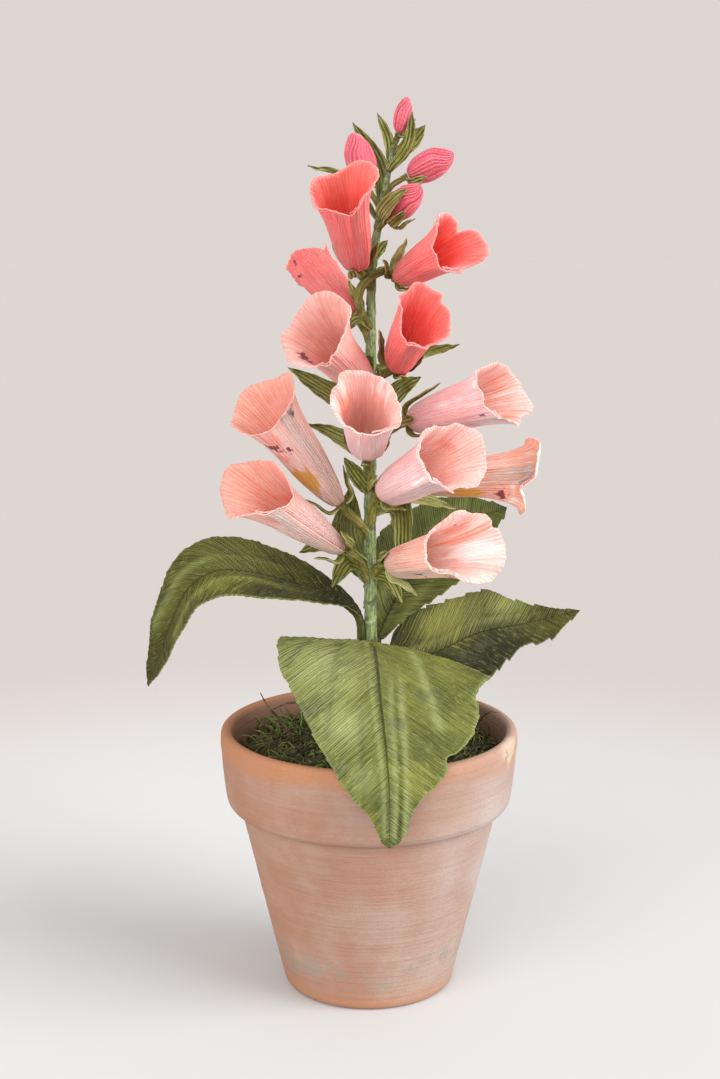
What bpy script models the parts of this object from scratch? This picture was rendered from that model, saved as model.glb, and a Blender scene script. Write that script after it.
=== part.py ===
"""A foxglove made of crepe paper, in a small terracotta pot with moss round its foot.

Every value is in millimetres or degrees, with Z up and the origin under the middle of the pot.
The meshes themselves are in metres. The front of the plant looks along -Y.
"""
import math
import random
from collections import namedtuple

import bmesh
import bpy
from mathutils import Vector

MM = 0.001
WELD = 0.002
GAP = 0.3
PAPER = 0.6

# The pot, a standard 4 inch terracotta one
POT_HEIGHT = 97.6
RIM_RADIUS = 54.5
COLLAR_BOTTOM = 68.4
COLLAR_RADIUS = 52.6
NECK_RADIUS = 47.1
BASE_RADIUS = 30.8
DRAIN_RADIUS = 6.0
FLOOR_TOP = 7.0
FLOOR_RADIUS = 26.0
MOUTH_RADIUS = 50.2
SHELF_RADIUS = 48.9
THROAT_RADIUS = 42.0
POT_SIDES = 36

# What fills the pot
FOAM_TOP = 76.0
FOAM_TOP_RADIUS = 43.2
FOAM_BASE_RADIUS = 24.7
HOLE_BOTTOM = 30.0
MOSS_RADIUS = 48.0
MOSS_EDGE = 11.0
MOSS_CROWN = 18.0
MOSS_STRANDS = 24
STRAND_RADII = (0.9, 0.7, 0.3)
STRAND_DEPTH = 2.0
STRAND_SEED = 5

# Stems, stalks and the holes that they stand in
STEM_FOOT = (0.5, 0.0)
STALK_RADIUS = 1.25
STEM_HOLE = 2.85
STALK_HOLE = 1.8
STEM_PATH = (
    (0.5, 0.0, HOLE_BOTTOM + GAP), (0.5, 0.0, 90.0), (0.6, 0.0, 130.0), (0.3, 0.0, 174.0),
    (0.6, 0.0, 218.0), (0.6, 0.0, 253.0), (1.3, 0.0, 268.0), (3.4, 0.0, 280.5),
    (5.5, 0.0, 292.0), (7.2, 0.0, 301.0), (8.6, 0.0, 306.0),
)
STEM_RADII = ((30.0, 2.3), (150.0, 2.3), (220.0, 1.9), (265.0, 1.6), (292.0, 1.2), (306.0, 0.9))
STEM_SIDES = 8
STEM_STEPS = 16

# A bell: shares of its length, and the radius there in shares of the tube's own
BELL_STATIONS = (
    (0.0, 0.0), (0.0, 0.30), (0.05, 0.58), (0.17, 0.82), (0.42, 0.97),
    (0.68, 1.08), (0.87, 1.22), (1.0, 1.38),
)
BELL_SIDES = 14
BELL_WALL = 0.7
FLARE_START = 0.6
LIP_SPREAD = 42.0

# A bud, the same way
BUD_STATIONS = (
    (0.0, 0.0), (0.0, 0.30), (0.14, 0.74), (0.38, 1.0), (0.64, 0.94), (0.86, 0.60), (0.97, 0.28),
    (1.0, 0.0),
)
BUD_SIDES = 12
BUD_PLEAT = 0.07

# A bell's place is the middle of its closed end. Rolls go round its axis, from the top side
# towards the right hand of someone who looks along it from the stem. A lip is (roll, mm
# longer, mm wider), a sepal is (roll, length, mm that its tip stands off the bell).
Bell = namedtuple("Bell", "name base azimuth elevation length radius tilt lips root sepals")
CORAL_BELLS = (
    Bell("bell_coral_top", (-4.5, -9.0, 265.0), -99, 42, 35, 6.8, (0, 3),
         ((70, 3, 2), (-30, 3, 2)), 256, ((60, 10, 3), (180, 8, 2), (-70, 9, 2))),
    Bell("bell_coral_right", (10.0, -3.0, 261.0), -62, 18, 35, 5.6, (-70, 4),
         ((25, 5, 2), (-90, 5, 4)), 244, ((10, 13, 4), (70, 9, 5), (190, 8, 2), (-60, 8, 1))),
    Bell("bell_coral_left", (-5.0, 3.5, 247.0), 125, 31, 32, 6.3, (-90, 4),
         ((-90, 1, 0), (60, 1, 3)), 236, ((0, 10, 2), (120, 9, 1), (200, 9, 2))),
    Bell("bell_coral_middle", (9.5, -8.5, 231.0), -76, 32, 33, 6.7, (0, 5),
         ((13, 3, 1), (-80, 1, 2)), 222, ((60, 16, 3), (-100, 9, 1), (180, 8, 2))),
)
PALE_BELLS = (
    Bell("bell_pale_upper_left", (-1.0, -8.5, 223.5), -115, 29, 38, 7.0, (60, 8),
         ((75, 4, 3), (130, 1, 2)), 208, ((170, 9, 2), (-60, 9, 1), (40, 10, 1))),
    Bell("bell_pale_front", (-1.0, -12.5, 201.5), -90, 31, 36, 7.5, (0, 2),
         ((0, 2, 1), (75, 1, 2), (-60, 1, 1)), 182, ((180, 9, 2), (80, 9, 1), (-80, 9, 1))),
    Bell("bell_pale_left", (-10.5, -6.0, 181.5), -160, 53, 43, 7.2, (95, 9),
         ((95, 1, 1), (180, 2, 2), (10, 4, 1)), 166, ((180, 11, 3), (0, 10, 2), (90, 9, 1))),
    Bell("bell_pale_right", (14.5, -2.0, 210.5), -40, 17, 39, 7.0, (-90, 7),
         ((-90, 0, 2), (0, 2, 1)), 196, ((0, 17, 2), (180, 9, 2), (90, 8, 1))),
    Bell("bell_pale_low_left", (-9.5, -8.0, 165.0), -145, 35, 42, 6.5, (95, 7),
         ((100, 2, 4), (190, 2, 1)), 150, ((180, 9, 2), (-60, 9, 1), (60, 9, 1))),
    Bell("bell_pale_middle", (5.0, -10.0, 186.0), -54, 25, 38, 7.6, (-90, 6),
         ((-90, 2, 2), (0, 1, 1), (180, 1, 0)), 170, ((180, 10, 2), (60, 9, 1), (-60, 9, 1))),
    Bell("bell_pale_far_right", (13.0, 7.5, 187.0), 9, 2, 45, 6.8, (-20, 2),
         ((-20, 4, 2), (180, 0, 2)), 172, ((0, 9, 1), (120, 9, 1), (240, 9, 1))),
    Bell("bell_pale_low_right", (7.5, -8.0, 160.0), -52, 16, 38, 6.8, (-90, 10),
         ((-90, 1, 4), (0, 2, 3), (180, 0, 2)), 152, ((180, 12, 6), (60, 8, 1), (-70, 8, 1))),
)

# A bud's place is its closed end too
Bud = namedtuple("Bud", "name base tip radius root sepals")
BUDS = (
    Bud("bud_top", (10.0, -0.5, 310.0), (13.0, -1.0, 322.0), 2.9, 305, ((90, 6, 1), (-90, 7, 1))),
    Bud("bud_right", (13.5, -0.5, 295.5), (29.0, -2.0, 303.0), 5.0, 286,
        ((120, 6, 1), (-120, 6, 1))),
    Bud("bud_front", (7.0, -3.5, 281.5), (17.5, -9.0, 292.0), 4.8, 275,
        ((0, 14, 1), (80, 13, 1), (180, 7, 1))),
    Bud("bud_left", (-0.5, 0.5, 292.5), (-6.0, 1.0, 310.0), 5.0, 283, ((60, 8, 1), (-100, 7, 1))),
)

# Each flower's own stalk, and the sepals on its end
BELL_STALK = 1.6
BUD_STALK = 1.0
SEAT_DEPTH = 1.3
SEAT_SPREAD = 1.3
SEPAL_ROWS = 3
SEPAL_ROOT = 1.3
SEPAL_ROOM = 0.9
LONG_SEPAL = 7
SEPAL_WIDTH = 4.2
SHORT_SEPAL_WIDTH = 3.4

# A bract is a narrow leaf: points from the stem to its tip, its width, and where it faces
Bract = namedtuple("Bract", "points width faces")
BRACTS = (
    Bract(((7.0, 0.0, 299.0), (6.5, 1.0, 308.0), (2.5, 2.0, 317.0)), 3.4, (0, -1, 0)),
    Bract(((6.6, 0.0, 297.0), (14.0, 4.5, 307.5), (12.5, 4.0, 317.5)), 4.0, (0, -1, 0)),
    Bract(((7.4, 0.0, 301.0), (14.5, 5.0, 307.0), (19.5, 6.0, 313.0)), 4.0, (0, -1, 0)),
    Bract(((4.3, 0.0, 285.5), (3.0, 6.5, 299.0), (-6.0, 7.5, 314.0)), 5.5, (0.3, -1, 0)),
    Bract(((3.2, 0.0, 280.0), (-8.5, 5.0, 294.5), (-21.5, 2.0, 299.0)), 4.5, (0, -0.5, 1)),
    Bract(((1.3, 0.0, 266.0), (3.5, 5.0, 270.0), (6.5, 6.0, 273.5)), 4.0, (0, -1, 0.3)),
    Bract(((1.0, 0.0, 261.0), (-6.0, 2.0, 264.5), (-12.0, 2.5, 269.0)), 4.5, (0, -1, 0.5)),
    Bract(((0.8, 0.0, 228.0), (18.0, 4.0, 233.0), (32.0, 3.0, 237.0)), 6.5, (0, -0.7, 1)),
    Bract(((0.8, 0.0, 229.0), (-1.0, -5.0, 233.5), (-3.5, -8.0, 234.0)), 3.6, (0, -0.5, 1)),
    Bract(((0.6, 0.0, 242.0), (-3.5, -4.0, 246.0), (-7.0, -6.5, 244.0)), 4.0, (0, -1, 1)),
    Bract(((0.6, 0.0, 208.5), (10.0, 3.5, 220.0), (18.5, 4.0, 225.5)), 7.0, (0, -1, 0.3)),
    Bract(((0.6, 0.0, 211.0), (-12.0, 3.0, 218.5), (-29.0, 2.0, 229.0)), 9.0, (0.2, -1, 0.6)),
    Bract(((0.5, 0.0, 195.0), (-8.0, 0.5, 202.5), (-22.0, 1.0, 209.0)), 8.5, (0.2, -0.8, 1)),
    Bract(((0.4, 0.0, 184.0), (-4.5, -5.0, 191.0), (-9.0, -6.5, 198.0)), 6.0, (0.2, -1, 0.3)),
    Bract(((0.3, 0.0, 176.0), (15.0, -1.0, 182.5), (31.0, -1.0, 178.5)), 8.0, (0, -0.6, 1)),
    Bract(((0.3, 0.0, 178.0), (11.0, 4.5, 178.5), (12.0, 5.5, 153.0)), 9.0, (0, -1, 0)),
    Bract(((0.3, 0.0, 152.0), (-7.5, 4.5, 167.0), (-6.5, 6.0, 186.0)), 13.0, (0, -1, 0.1)),
    Bract(((0.4, 0.0, 157.0), (-13.0, 6.0, 165.0), (-25.5, 4.0, 161.5)), 8.5, (0, -0.8, 0.6)),
    Bract(((0.4, 0.0, 155.5), (-7.5, -3.5, 160.0), (-13.5, -5.5, 150.5)), 8.0, (0.2, -1, 0.1)),
    Bract(((0.4, 0.0, 154.5), (7.5, -3.5, 153.0), (12.0, -5.0, 144.5)), 5.5, (0, -1, 0.4)),
)
BRACT_ROWS = 4
BRACT_FOLD = 14.0
BLADE_OUTLINE = ((0.0, 0.35), (0.2, 0.75), (0.5, 1.0), (0.8, 0.6), (1.0, 0.0))

# A big leaf: its stalk up from the foam, its midrib, the half widths on the left and right
# hand of someone who walks to the tip, where the left hand points, and the fold at the midrib
Leaf = namedtuple("Leaf", "name stalk midrib left right hand_start hand_end fold")
LEAVES = (
    Leaf("leaf_left",
         ((-5.6, 0.0), (-5.6, 0.0, 92.0), (-3.7, 0.0, 116.0), (-3.7, -0.6, 131.0)),
         ((-4.8, -1.0, 139.0), (-10.5, -3.0, 145.0), (-25.0, -6.0, 151.5), (-42.5, -10.0, 157.0),
          (-54.5, -13.0, 158.0), (-63.5, -15.0, 152.5), (-69.5, -17.0, 141.5),
          (-73.5, -19.0, 131.0), (-78.5, -20.0, 118.0)),
         ((0.0, 1.5), (0.08, 5.0), (0.25, 13.0), (0.42, 18.5), (0.58, 19.0), (0.72, 14.5),
          (0.86, 8.5), (0.95, 4.0), (1.0, 0.0)),
         ((0.0, 1.5), (0.08, 4.5), (0.25, 13.0), (0.42, 16.5), (0.58, 16.0), (0.72, 12.5),
          (0.86, 8.0), (0.95, 4.0), (1.0, 0.0)),
         (0.0, -0.90, -0.44), (0.45, -0.80, -0.35), 10.0),
    Leaf("leaf_front",
         ((0.5, -6.1), (0.5, -6.1, 92.0), (0.8, -5.6, 116.0), (0.9, -5.6, 127.0)),
         ((1.0, -9.0, 131.5), (2.0, -24.0, 127.5), (3.5, -40.0, 115.5), (5.5, -54.5, 101.5),
          (6.5, -61.5, 88.0), (6.5, -64.5, 74.5)),
         ((0.0, 15.0), (0.08, 34.0), (0.15, 40.5), (0.22, 35.5), (0.36, 35.5), (0.50, 29.0),
          (0.62, 21.5), (0.72, 18.0), (0.82, 12.0), (0.92, 6.0), (1.0, 0.0)),
         ((0.0, 29.0), (0.06, 34.0), (0.15, 34.0), (0.25, 31.0), (0.40, 26.5), (0.55, 22.0),
          (0.68, 16.5), (0.78, 12.5), (0.88, 7.5), (0.95, 3.5), (1.0, 0.0)),
         (0.98, 0.0, -0.17), (0.98, 0.0, -0.17), -4.0),
    Leaf("leaf_right",
         ((6.3, -2.4), (6.3, -2.4, 92.0), (6.0, -1.5, 106.0), (6.4, -0.8, 113.0)),
         ((8.0, -0.3, 118.0), (16.0, 0.0, 121.0), (26.0, 0.5, 125.0), (40.5, 2.0, 131.5),
          (59.0, 6.0, 134.5), (78.0, 10.0, 138.5)),
         ((0.0, 5.0), (0.07, 18.0), (0.17, 24.0), (0.32, 25.0), (0.46, 21.5), (0.60, 19.5),
          (0.69, 14.5), (0.80, 9.0), (0.90, 4.0), (1.0, 0.0)),
         ((0.0, 3.0), (0.07, 12.0), (0.17, 18.0), (0.32, 20.0), (0.46, 18.0), (0.58, 13.0),
          (0.66, 9.0), (0.80, 8.5), (0.90, 5.0), (1.0, 0.0)),
         (0.0, 0.79, 0.62), (0.0, 0.79, 0.62), -5.0),
    Leaf("leaf_back",
         ((4.2, 4.9), (4.2, 4.9, 92.0), (3.4, 5.0, 112.0), (3.0, 5.4, 122.0)),
         ((3.2, 7.0, 129.0), (10.0, 18.0, 140.5), (22.0, 34.0, 152.5), (37.5, 50.0, 163.5),
          (55.0, 62.5, 168.0)),
         ((0.0, 2.0), (0.10, 9.0), (0.30, 18.0), (0.50, 20.0), (0.70, 16.0), (0.85, 9.5),
          (0.95, 4.0), (1.0, 0.0)),
         ((0.0, 2.0), (0.10, 6.0), (0.30, 12.0), (0.50, 16.0), (0.70, 15.0), (0.85, 9.5),
          (0.95, 4.0), (1.0, 0.0)),
         (-0.75, 0.30, 0.50), (-0.75, 0.30, 0.50), 8.0),
)
LEAF_ROWS = 16
LEAF_COLUMNS = 6
LEAF_TOOTH = 0.8
TOOTH_ROOM = 6.0
RIB_REACH = 0.6
RIB_STEPS = 7
RIB_TAPER = 0.7


def clear_scene():
    """Start from an empty scene."""
    for item in list(bpy.data.objects):
        bpy.data.objects.remove(item)


def new_collection(name):
    """A collection of that name in the scene."""
    group = bpy.data.collections.new(name)
    bpy.context.scene.collection.children.link(group)
    return group


def finish(name, colour, roughness):
    """A plain dielectric material."""
    material = bpy.data.materials.new(name)
    material.use_nodes = True
    shader = material.node_tree.nodes["Principled BSDF"]
    shader.inputs["Base Color"].default_value = (*colour, 1.0)
    shader.inputs["Roughness"].default_value = roughness
    shader.inputs["Metallic"].default_value = 0.0
    return material


def to_object(name, bm, material, group):
    """Turn a bmesh in millimetres into an object in metres."""
    bmesh.ops.scale(bm, vec=(MM, MM, MM), verts=bm.verts)
    mesh = bpy.data.meshes.new(name)
    bm.to_mesh(mesh)
    bm.free()
    mesh.materials.append(material)
    mesh.shade_smooth()
    item = bpy.data.objects.new(name, mesh)
    group.objects.link(item)
    return item


def between(table, value):
    """Read a table of (place, amount) pairs, with straight lines between them."""
    if value <= table[0][0]:
        return table[0][1]
    for (start, low), (end, high) in zip(table, table[1:]):
        if value <= end:
            return low + (high - low) * (value - start) / (end - start)
    return table[-1][1]


def curve_point(points, place):
    """A spot on a smooth curve through the points; place 0 is the first one, 1 the second."""
    k = max(0, min(int(place), len(points) - 2))
    t = place - k
    a, b = Vector(points[k]), Vector(points[k + 1])
    before = Vector(points[k - 1]) if k else a * 2 - b
    after = Vector(points[k + 2]) if k + 2 < len(points) else b * 2 - a
    return 0.5 * (2 * a + (b - before) * t + (2 * before - 5 * a + 4 * b - after) * t * t
                  + (3 * a - before - 3 * b + after) * t ** 3)


def curve_heading(points, place):
    """The curve's direction there."""
    step = 0.02
    ahead = min(place + step, len(points) - 1)
    behind = max(place - step, 0)
    return (curve_point(points, ahead) - curve_point(points, behind)).normalized()


def place_at(points, share):
    """The place on the curve at a share of the length of the points' polygon."""
    lengths = [(Vector(b) - Vector(a)).length for a, b in zip(points, points[1:])]
    goal = min(max(share, 0.0), 1.0) * sum(lengths)
    for k, length in enumerate(lengths):
        if goal <= length or k == len(lengths) - 1:
            return k + min(goal / length, 1.0)
        goal -= length


def sheet(columns, rows, place):
    """A grid whose corners go where place(across, along) puts them, both from 0 to 1."""
    bm = bmesh.new()
    bmesh.ops.create_grid(bm, x_segments=columns, y_segments=rows, size=0.5)
    for vert in bm.verts:
        vert.co = place(vert.co.x + 0.5, vert.co.y + 0.5)
    bmesh.ops.remove_doubles(bm, verts=bm.verts, dist=WELD)
    bmesh.ops.triangulate(bm, faces=bm.faces)
    return bm


def thicken(item, wall, offset):
    """Give an open sheet its thickness."""
    solid = item.modifiers.new("wall", "SOLIDIFY")
    solid.thickness = wall * MM
    solid.offset = offset


def settled(item):
    """The object's mesh with its modifiers worked in."""
    view = bpy.context.evaluated_depsgraph_get()
    return bpy.data.meshes.new_from_object(item.evaluated_get(view))


def paper_blade(name, columns, rows, place, material, group):
    """A leaf blade as thick as the paper, on both sides of the surface that place gives."""
    blade = to_object(name, sheet(columns, rows, place), material, group)
    thicken(blade, PAPER, 0.0)
    mesh = settled(blade)
    blade.modifiers.clear()
    blade.data = mesh
    return blade


def tube(name, points, radii, sides, material, group):
    """A round rod through the points, closed at both ends, as a mesh object."""
    curve = bpy.data.curves.new(name, "CURVE")
    curve.dimensions = "3D"
    curve.bevel_depth = MM
    curve.bevel_resolution = sides // 2 - 2
    curve.use_fill_caps = True
    spline = curve.splines.new("POLY")
    spline.points.add(len(points) - 1)
    for spot, place, radius in zip(spline.points, points, radii):
        spot.co = (*(Vector(place) * MM), 1.0)
        spot.radius = radius
    rod = bpy.data.objects.new(name, curve)
    group.objects.link(rod)
    bm = bmesh.new()
    bm.from_mesh(settled(rod))
    bpy.data.objects.remove(rod)
    bmesh.ops.remove_doubles(bm, verts=bm.verts, dist=WELD * MM)
    bmesh.ops.recalc_face_normals(bm, faces=bm.faces)
    bmesh.ops.scale(bm, vec=(1 / MM, 1 / MM, 1 / MM), verts=bm.verts)
    return to_object(name, bm, material, group)


def fuse(name, pieces, material, group):
    """Join overlapping solids into one closed body of that name."""
    core, repeats = pieces[0], pieces[1:]
    joined = bpy.data.collections.new(name + "_pieces")
    bpy.context.scene.collection.children.link(joined)
    for piece in repeats:
        group.objects.unlink(piece)
        joined.objects.link(piece)
    union = core.modifiers.new("join", "BOOLEAN")
    union.operation = "UNION"
    union.operand_type = "COLLECTION"
    union.collection = joined
    union.solver = "MANIFOLD"
    mesh = settled(core)
    for piece in pieces:
        bpy.data.objects.remove(piece)
    bpy.data.collections.remove(joined)
    mesh.name = name
    mesh.materials.clear()
    mesh.materials.append(material)
    whole = bpy.data.objects.new(name, mesh)
    group.objects.link(whole)
    return whole


def turned(name, profile, material, group):
    """A solid turned round the Z axis from a profile of (radius, height), top side first."""
    mesh = bpy.data.meshes.new(name)
    corners = [(r * MM, 0.0, z * MM) for r, z in profile]
    edges = [(k, (k + 1) % len(corners)) for k in range(len(corners))]
    mesh.from_pydata(corners, edges, [])
    mesh.materials.append(material)
    item = bpy.data.objects.new(name, mesh)
    group.objects.link(item)
    screw = item.modifiers.new("turn", "SCREW")
    screw.steps = POT_SIDES
    screw.render_steps = POT_SIDES
    screw.use_merge_vertices = True
    screw.merge_threshold = WELD * MM
    screw.use_smooth_shade = True
    return item


def make_pot(material, group):
    """The pot: a tapered body, a deep collar with a rounded lip, and a drain hole."""
    profile = (
        (RIM_RADIUS - 2.0, POT_HEIGHT), (RIM_RADIUS - 0.5, POT_HEIGHT - 0.7),
        (RIM_RADIUS, POT_HEIGHT - 2.2), (RIM_RADIUS - 0.5, POT_HEIGHT - 12.0),
        (COLLAR_RADIUS, COLLAR_BOTTOM + 5.0), (COLLAR_RADIUS - 1.0, COLLAR_BOTTOM + 2.0),
        (COLLAR_RADIUS - 3.0, COLLAR_BOTTOM + 0.4), (NECK_RADIUS + 0.6, COLLAR_BOTTOM - 0.4),
        (NECK_RADIUS, COLLAR_BOTTOM - 2.0), (BASE_RADIUS + 0.9, 1.6), (BASE_RADIUS, 0.0),
        (DRAIN_RADIUS, 0.0), (DRAIN_RADIUS, FLOOR_TOP), (FLOOR_RADIUS - 1.0, FLOOR_TOP),
        (FLOOR_RADIUS, FLOOR_TOP + 1.0), (THROAT_RADIUS, COLLAR_BOTTOM - 2.4),
        (SHELF_RADIUS, COLLAR_BOTTOM + 6.0), (MOUTH_RADIUS, POT_HEIGHT - 1.2),
        (MOUTH_RADIUS + 0.8, POT_HEIGHT - 0.2),
    )
    return turned("pot", profile, material, group)


def make_holes(group):
    """The plain round holes that the stem and the leaf stalks stand in."""
    spots = [(STEM_FOOT, STEM_HOLE)] + [(leaf.stalk[0], STALK_HOLE) for leaf in LEAVES]
    depth = POT_HEIGHT + 20.0 - HOLE_BOTTOM
    bm = bmesh.new()
    for (x, y), radius in spots:
        rod = bmesh.ops.create_cone(bm, cap_ends=True, segments=12, radius1=radius,
                                    radius2=radius, depth=depth)
        bmesh.ops.translate(bm, verts=rod["verts"], vec=(x, y, HOLE_BOTTOM + depth / 2))
    holes = to_object("planting_holes", bm, finish("guide", (0.8, 0.8, 0.8), 0.5), group)
    holes.hide_render = True
    holes.display_type = "WIRE"
    return holes


def cut(item, cutter):
    """Cut one object with another."""
    hole = item.modifiers.new("holes", "BOOLEAN")
    hole.operation = "DIFFERENCE"
    hole.object = cutter


def make_foam(material, group):
    """The plug of florist's foam, which fills the pot up to the moss."""
    bottom = FLOOR_TOP + GAP
    bm = bmesh.new()
    bmesh.ops.create_cone(bm, cap_ends=True, segments=32, radius1=FOAM_BASE_RADIUS,
                          radius2=FOAM_TOP_RADIUS, depth=FOAM_TOP - bottom)
    bmesh.ops.translate(bm, verts=bm.verts, vec=(0, 0, (FOAM_TOP + bottom) / 2))
    return to_object("foam_plug", bm, material, group)


def moss_height(x, y):
    """How high the mat of moss stands above the foam."""
    far = math.hypot(x, y) / MOSS_RADIUS
    dome = MOSS_EDGE + (MOSS_CROWN - MOSS_EDGE) * (1 - far * far)
    lumps = math.sin(x * 0.31 + 1.0) * math.cos(y * 0.27) + 0.6 * math.sin(x * 0.17 - y * 0.43)
    return dome + 1.3 * lumps


def make_moss(material, group):
    """A springy mat of moss with loose strands that stand out of it."""
    rings = (0.0, 0.2, 0.4, 0.58, 0.75, 0.89, 0.97, 1.0, 0.0)
    top = len(rings) - 3

    def place(across, along):
        k = round(along * (len(rings) - 1))
        angle = -across * math.tau
        x = MOSS_RADIUS * rings[k] * math.cos(angle)
        y = MOSS_RADIUS * rings[k] * math.sin(angle)
        height = moss_height(x, y) * (1.0 if k < top else 0.75) if k <= top else 0.0
        return Vector((x, y, FOAM_TOP + GAP + height))

    mat = to_object("moss_mat", sheet(32, len(rings) - 1, place), material, group)
    draw = random.Random(STRAND_SEED)
    pieces = [mat]
    for k in range(MOSS_STRANDS):
        angle = draw.uniform(0, math.tau)
        far = MOSS_RADIUS * math.sqrt(draw.uniform(0.10, 0.72))
        length = draw.uniform(6.0, 11.0)
        lean = Vector((draw.uniform(-1, 1), draw.uniform(-1, 1), draw.uniform(0.35, 1.1)))
        x, y = far * math.cos(angle), far * math.sin(angle)
        root = Vector((x, y, FOAM_TOP + moss_height(x, y) - STRAND_DEPTH))
        knee = root + lean.normalized() * length * 0.6
        tip = knee + (lean.normalized() + Vector((draw.uniform(-1, 1), 0, 0.2))) * length * 0.35
        pieces.append(tube("strand_%02d" % k, (root, knee, tip), STRAND_RADII, 4,
                           material, group))
    return fuse("moss", pieces, material, group)


def make_stalk_path(leaf):
    """The stalk's points, from the bottom of its hole to the foot of the blade."""
    x, y = leaf.stalk[0]
    return [(x, y, HOLE_BOTTOM + GAP), *leaf.stalk[1:]]


def leaf_frame(leaf, along):
    """The midrib's place there, the direction of the left hand and the way the blade faces."""
    spot = place_at(leaf.midrib, along)
    forward = curve_heading(leaf.midrib, spot)
    hand = Vector(leaf.hand_start).lerp(Vector(leaf.hand_end), along)
    hand = (hand - forward * hand.dot(forward)).normalized()
    return curve_point(leaf.midrib, spot), hand, forward.cross(hand)


def leaf_point(leaf, across, along):
    """A place on the blade: across from -1 on the right edge to 1 on the left one."""
    middle, hand, face = leaf_frame(leaf, along)
    half = between(leaf.left if across > 0 else leaf.right, along)
    tooth = LEAF_TOOTH if round(along * LEAF_ROWS) % 2 else -LEAF_TOOTH
    half += tooth * abs(across) ** 3 * min(1.0, half / TOOTH_ROOM)
    fold = math.radians(leaf.fold)
    return (middle + hand * (across * half * math.cos(fold))
            + face * (abs(across) * half * math.sin(fold)))


def make_leaf(leaf, material, group):
    """A big leaf: a folded blade with a toothed edge, on a wired stalk that runs on under it."""
    def place(across, along):
        return leaf_point(leaf, 1 - 2 * across, along)

    blade = paper_blade(leaf.name + "_blade", LEAF_COLUMNS, LEAF_ROWS, place, material, group)
    path = make_stalk_path(leaf)
    radii = [STALK_RADIUS] * len(path)
    for k in range(RIB_STEPS + 1):
        middle, _, face = leaf_frame(leaf, RIB_REACH * k / RIB_STEPS)
        radius = STALK_RADIUS * (1.0 - RIB_TAPER * k / RIB_STEPS)
        path.append(middle - face * radius * 0.7)
        radii.append(radius)
    rib = tube(leaf.name + "_rib", path, radii, 6, material, group)
    return fuse(leaf.name, [rib, blade], material, group)


def bell_axes(azimuth, elevation):
    """A bell's axis, its top side and its right hand side."""
    turn, lift = math.radians(azimuth), math.radians(elevation)
    axis = Vector((math.cos(lift) * math.cos(turn), math.cos(lift) * math.sin(turn),
                   math.sin(lift)))
    top = (Vector((0, 0, 1)) - axis * axis.z).normalized()
    return axis, top, axis.cross(top)


def out_from(axes, roll):
    """The direction square to the axis at that roll."""
    _, top, side = axes
    turn = math.radians(roll)
    return top * math.cos(turn) + side * math.sin(turn)


def bell_point(bell, roll, station):
    """A place on the outside of a bell."""
    axes = bell_axes(bell.azimuth, bell.elevation)
    share, width = BELL_STATIONS[station]
    facing, reach = bell.tilt
    longer = reach * math.cos(math.radians(roll - facing))
    wider = 0.0
    for lip, more, flare in bell.lips:
        away = (roll - lip + 180) % 360 - 180
        weight = math.exp(-(away / LIP_SPREAD) ** 2)
        longer += more * weight
        wider += flare * weight
    opening = max(0.0, (share - FLARE_START) / (1 - FLARE_START)) ** 2
    radius = bell.radius * width + wider * opening
    along = axes[0] * share * (bell.length + longer)
    return Vector(bell.base) + along + out_from(axes, roll) * radius


def make_bell(bell, material, group):
    """A bell: a rolled paper tube with a closed end and a flared mouth."""
    def place(across, along):
        return bell_point(bell, across * 360, round(along * (len(BELL_STATIONS) - 1)))

    skin = to_object(bell.name, sheet(BELL_SIDES, len(BELL_STATIONS) - 1, place), material, group)
    thicken(skin, BELL_WALL, -1.0)
    return skin


def bud_angles(bud):
    """The azimuth and elevation of a bud's axis."""
    along = Vector(bud.tip) - Vector(bud.base)
    return (math.degrees(math.atan2(along.y, along.x)),
            math.degrees(math.asin(along.z / along.length)))


def make_bud(bud, material, group):
    """A bud: a pleated spindle with a gathered tip."""
    axes = bell_axes(*bud_angles(bud))
    length = (Vector(bud.tip) - Vector(bud.base)).length

    def place(across, along):
        share, width = BUD_STATIONS[round(along * (len(BUD_STATIONS) - 1))]
        column = round(across * BUD_SIDES)
        pleat = 1 + (BUD_PLEAT if column % 2 else -BUD_PLEAT)
        return (Vector(bud.base) + axes[0] * share * length
                + out_from(axes, across * 360) * bud.radius * width * pleat)

    return to_object(bud.name, sheet(BUD_SIDES, len(BUD_STATIONS) - 1, place), material, group)


def make_blade(name, points, width, faces, rows, material, group):
    """A narrow leaflet along the points, folded at its middle."""
    fold = math.radians(BRACT_FOLD)

    def place(across, along):
        spot = along * (len(points) - 1)
        forward = curve_heading(points, spot)
        hand = Vector(faces).cross(forward).normalized()
        face = forward.cross(hand)
        half = width / 2 * between(BLADE_OUTLINE, along)
        side = (1 - 2 * across) * half
        return (curve_point(points, spot) + hand * side * math.cos(fold)
                + face * abs(side) * math.sin(fold))

    return paper_blade(name, 2, rows, place, material, group)


def flower_parts():
    """Name, closed end, axes, outline, root height, stalk and sepals of every bell and bud."""
    for bell in CORAL_BELLS + PALE_BELLS:
        outline = [(s * bell.length, w * bell.radius) for s, w in BELL_STATIONS[1:]]
        yield (bell.name, Vector(bell.base), bell_axes(bell.azimuth, bell.elevation), outline,
               bell.root, BELL_STALK, bell.sepals)
    for bud in BUDS:
        length = (Vector(bud.tip) - Vector(bud.base)).length
        outline = [(s * length, w * bud.radius * (1 + BUD_PLEAT)) for s, w in BUD_STATIONS[1:]]
        yield (bud.name, Vector(bud.base), bell_axes(*bud_angles(bud)), outline, bud.root,
               BUD_STALK, bud.sepals)


def stem_spot(height):
    """The middle of the stem at a height."""
    for a, b in zip(STEM_PATH, STEM_PATH[1:]):
        if height <= b[2]:
            return Vector(a).lerp(Vector(b), (height - a[2]) / (b[2] - a[2]))
    return Vector(STEM_PATH[-1])


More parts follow.
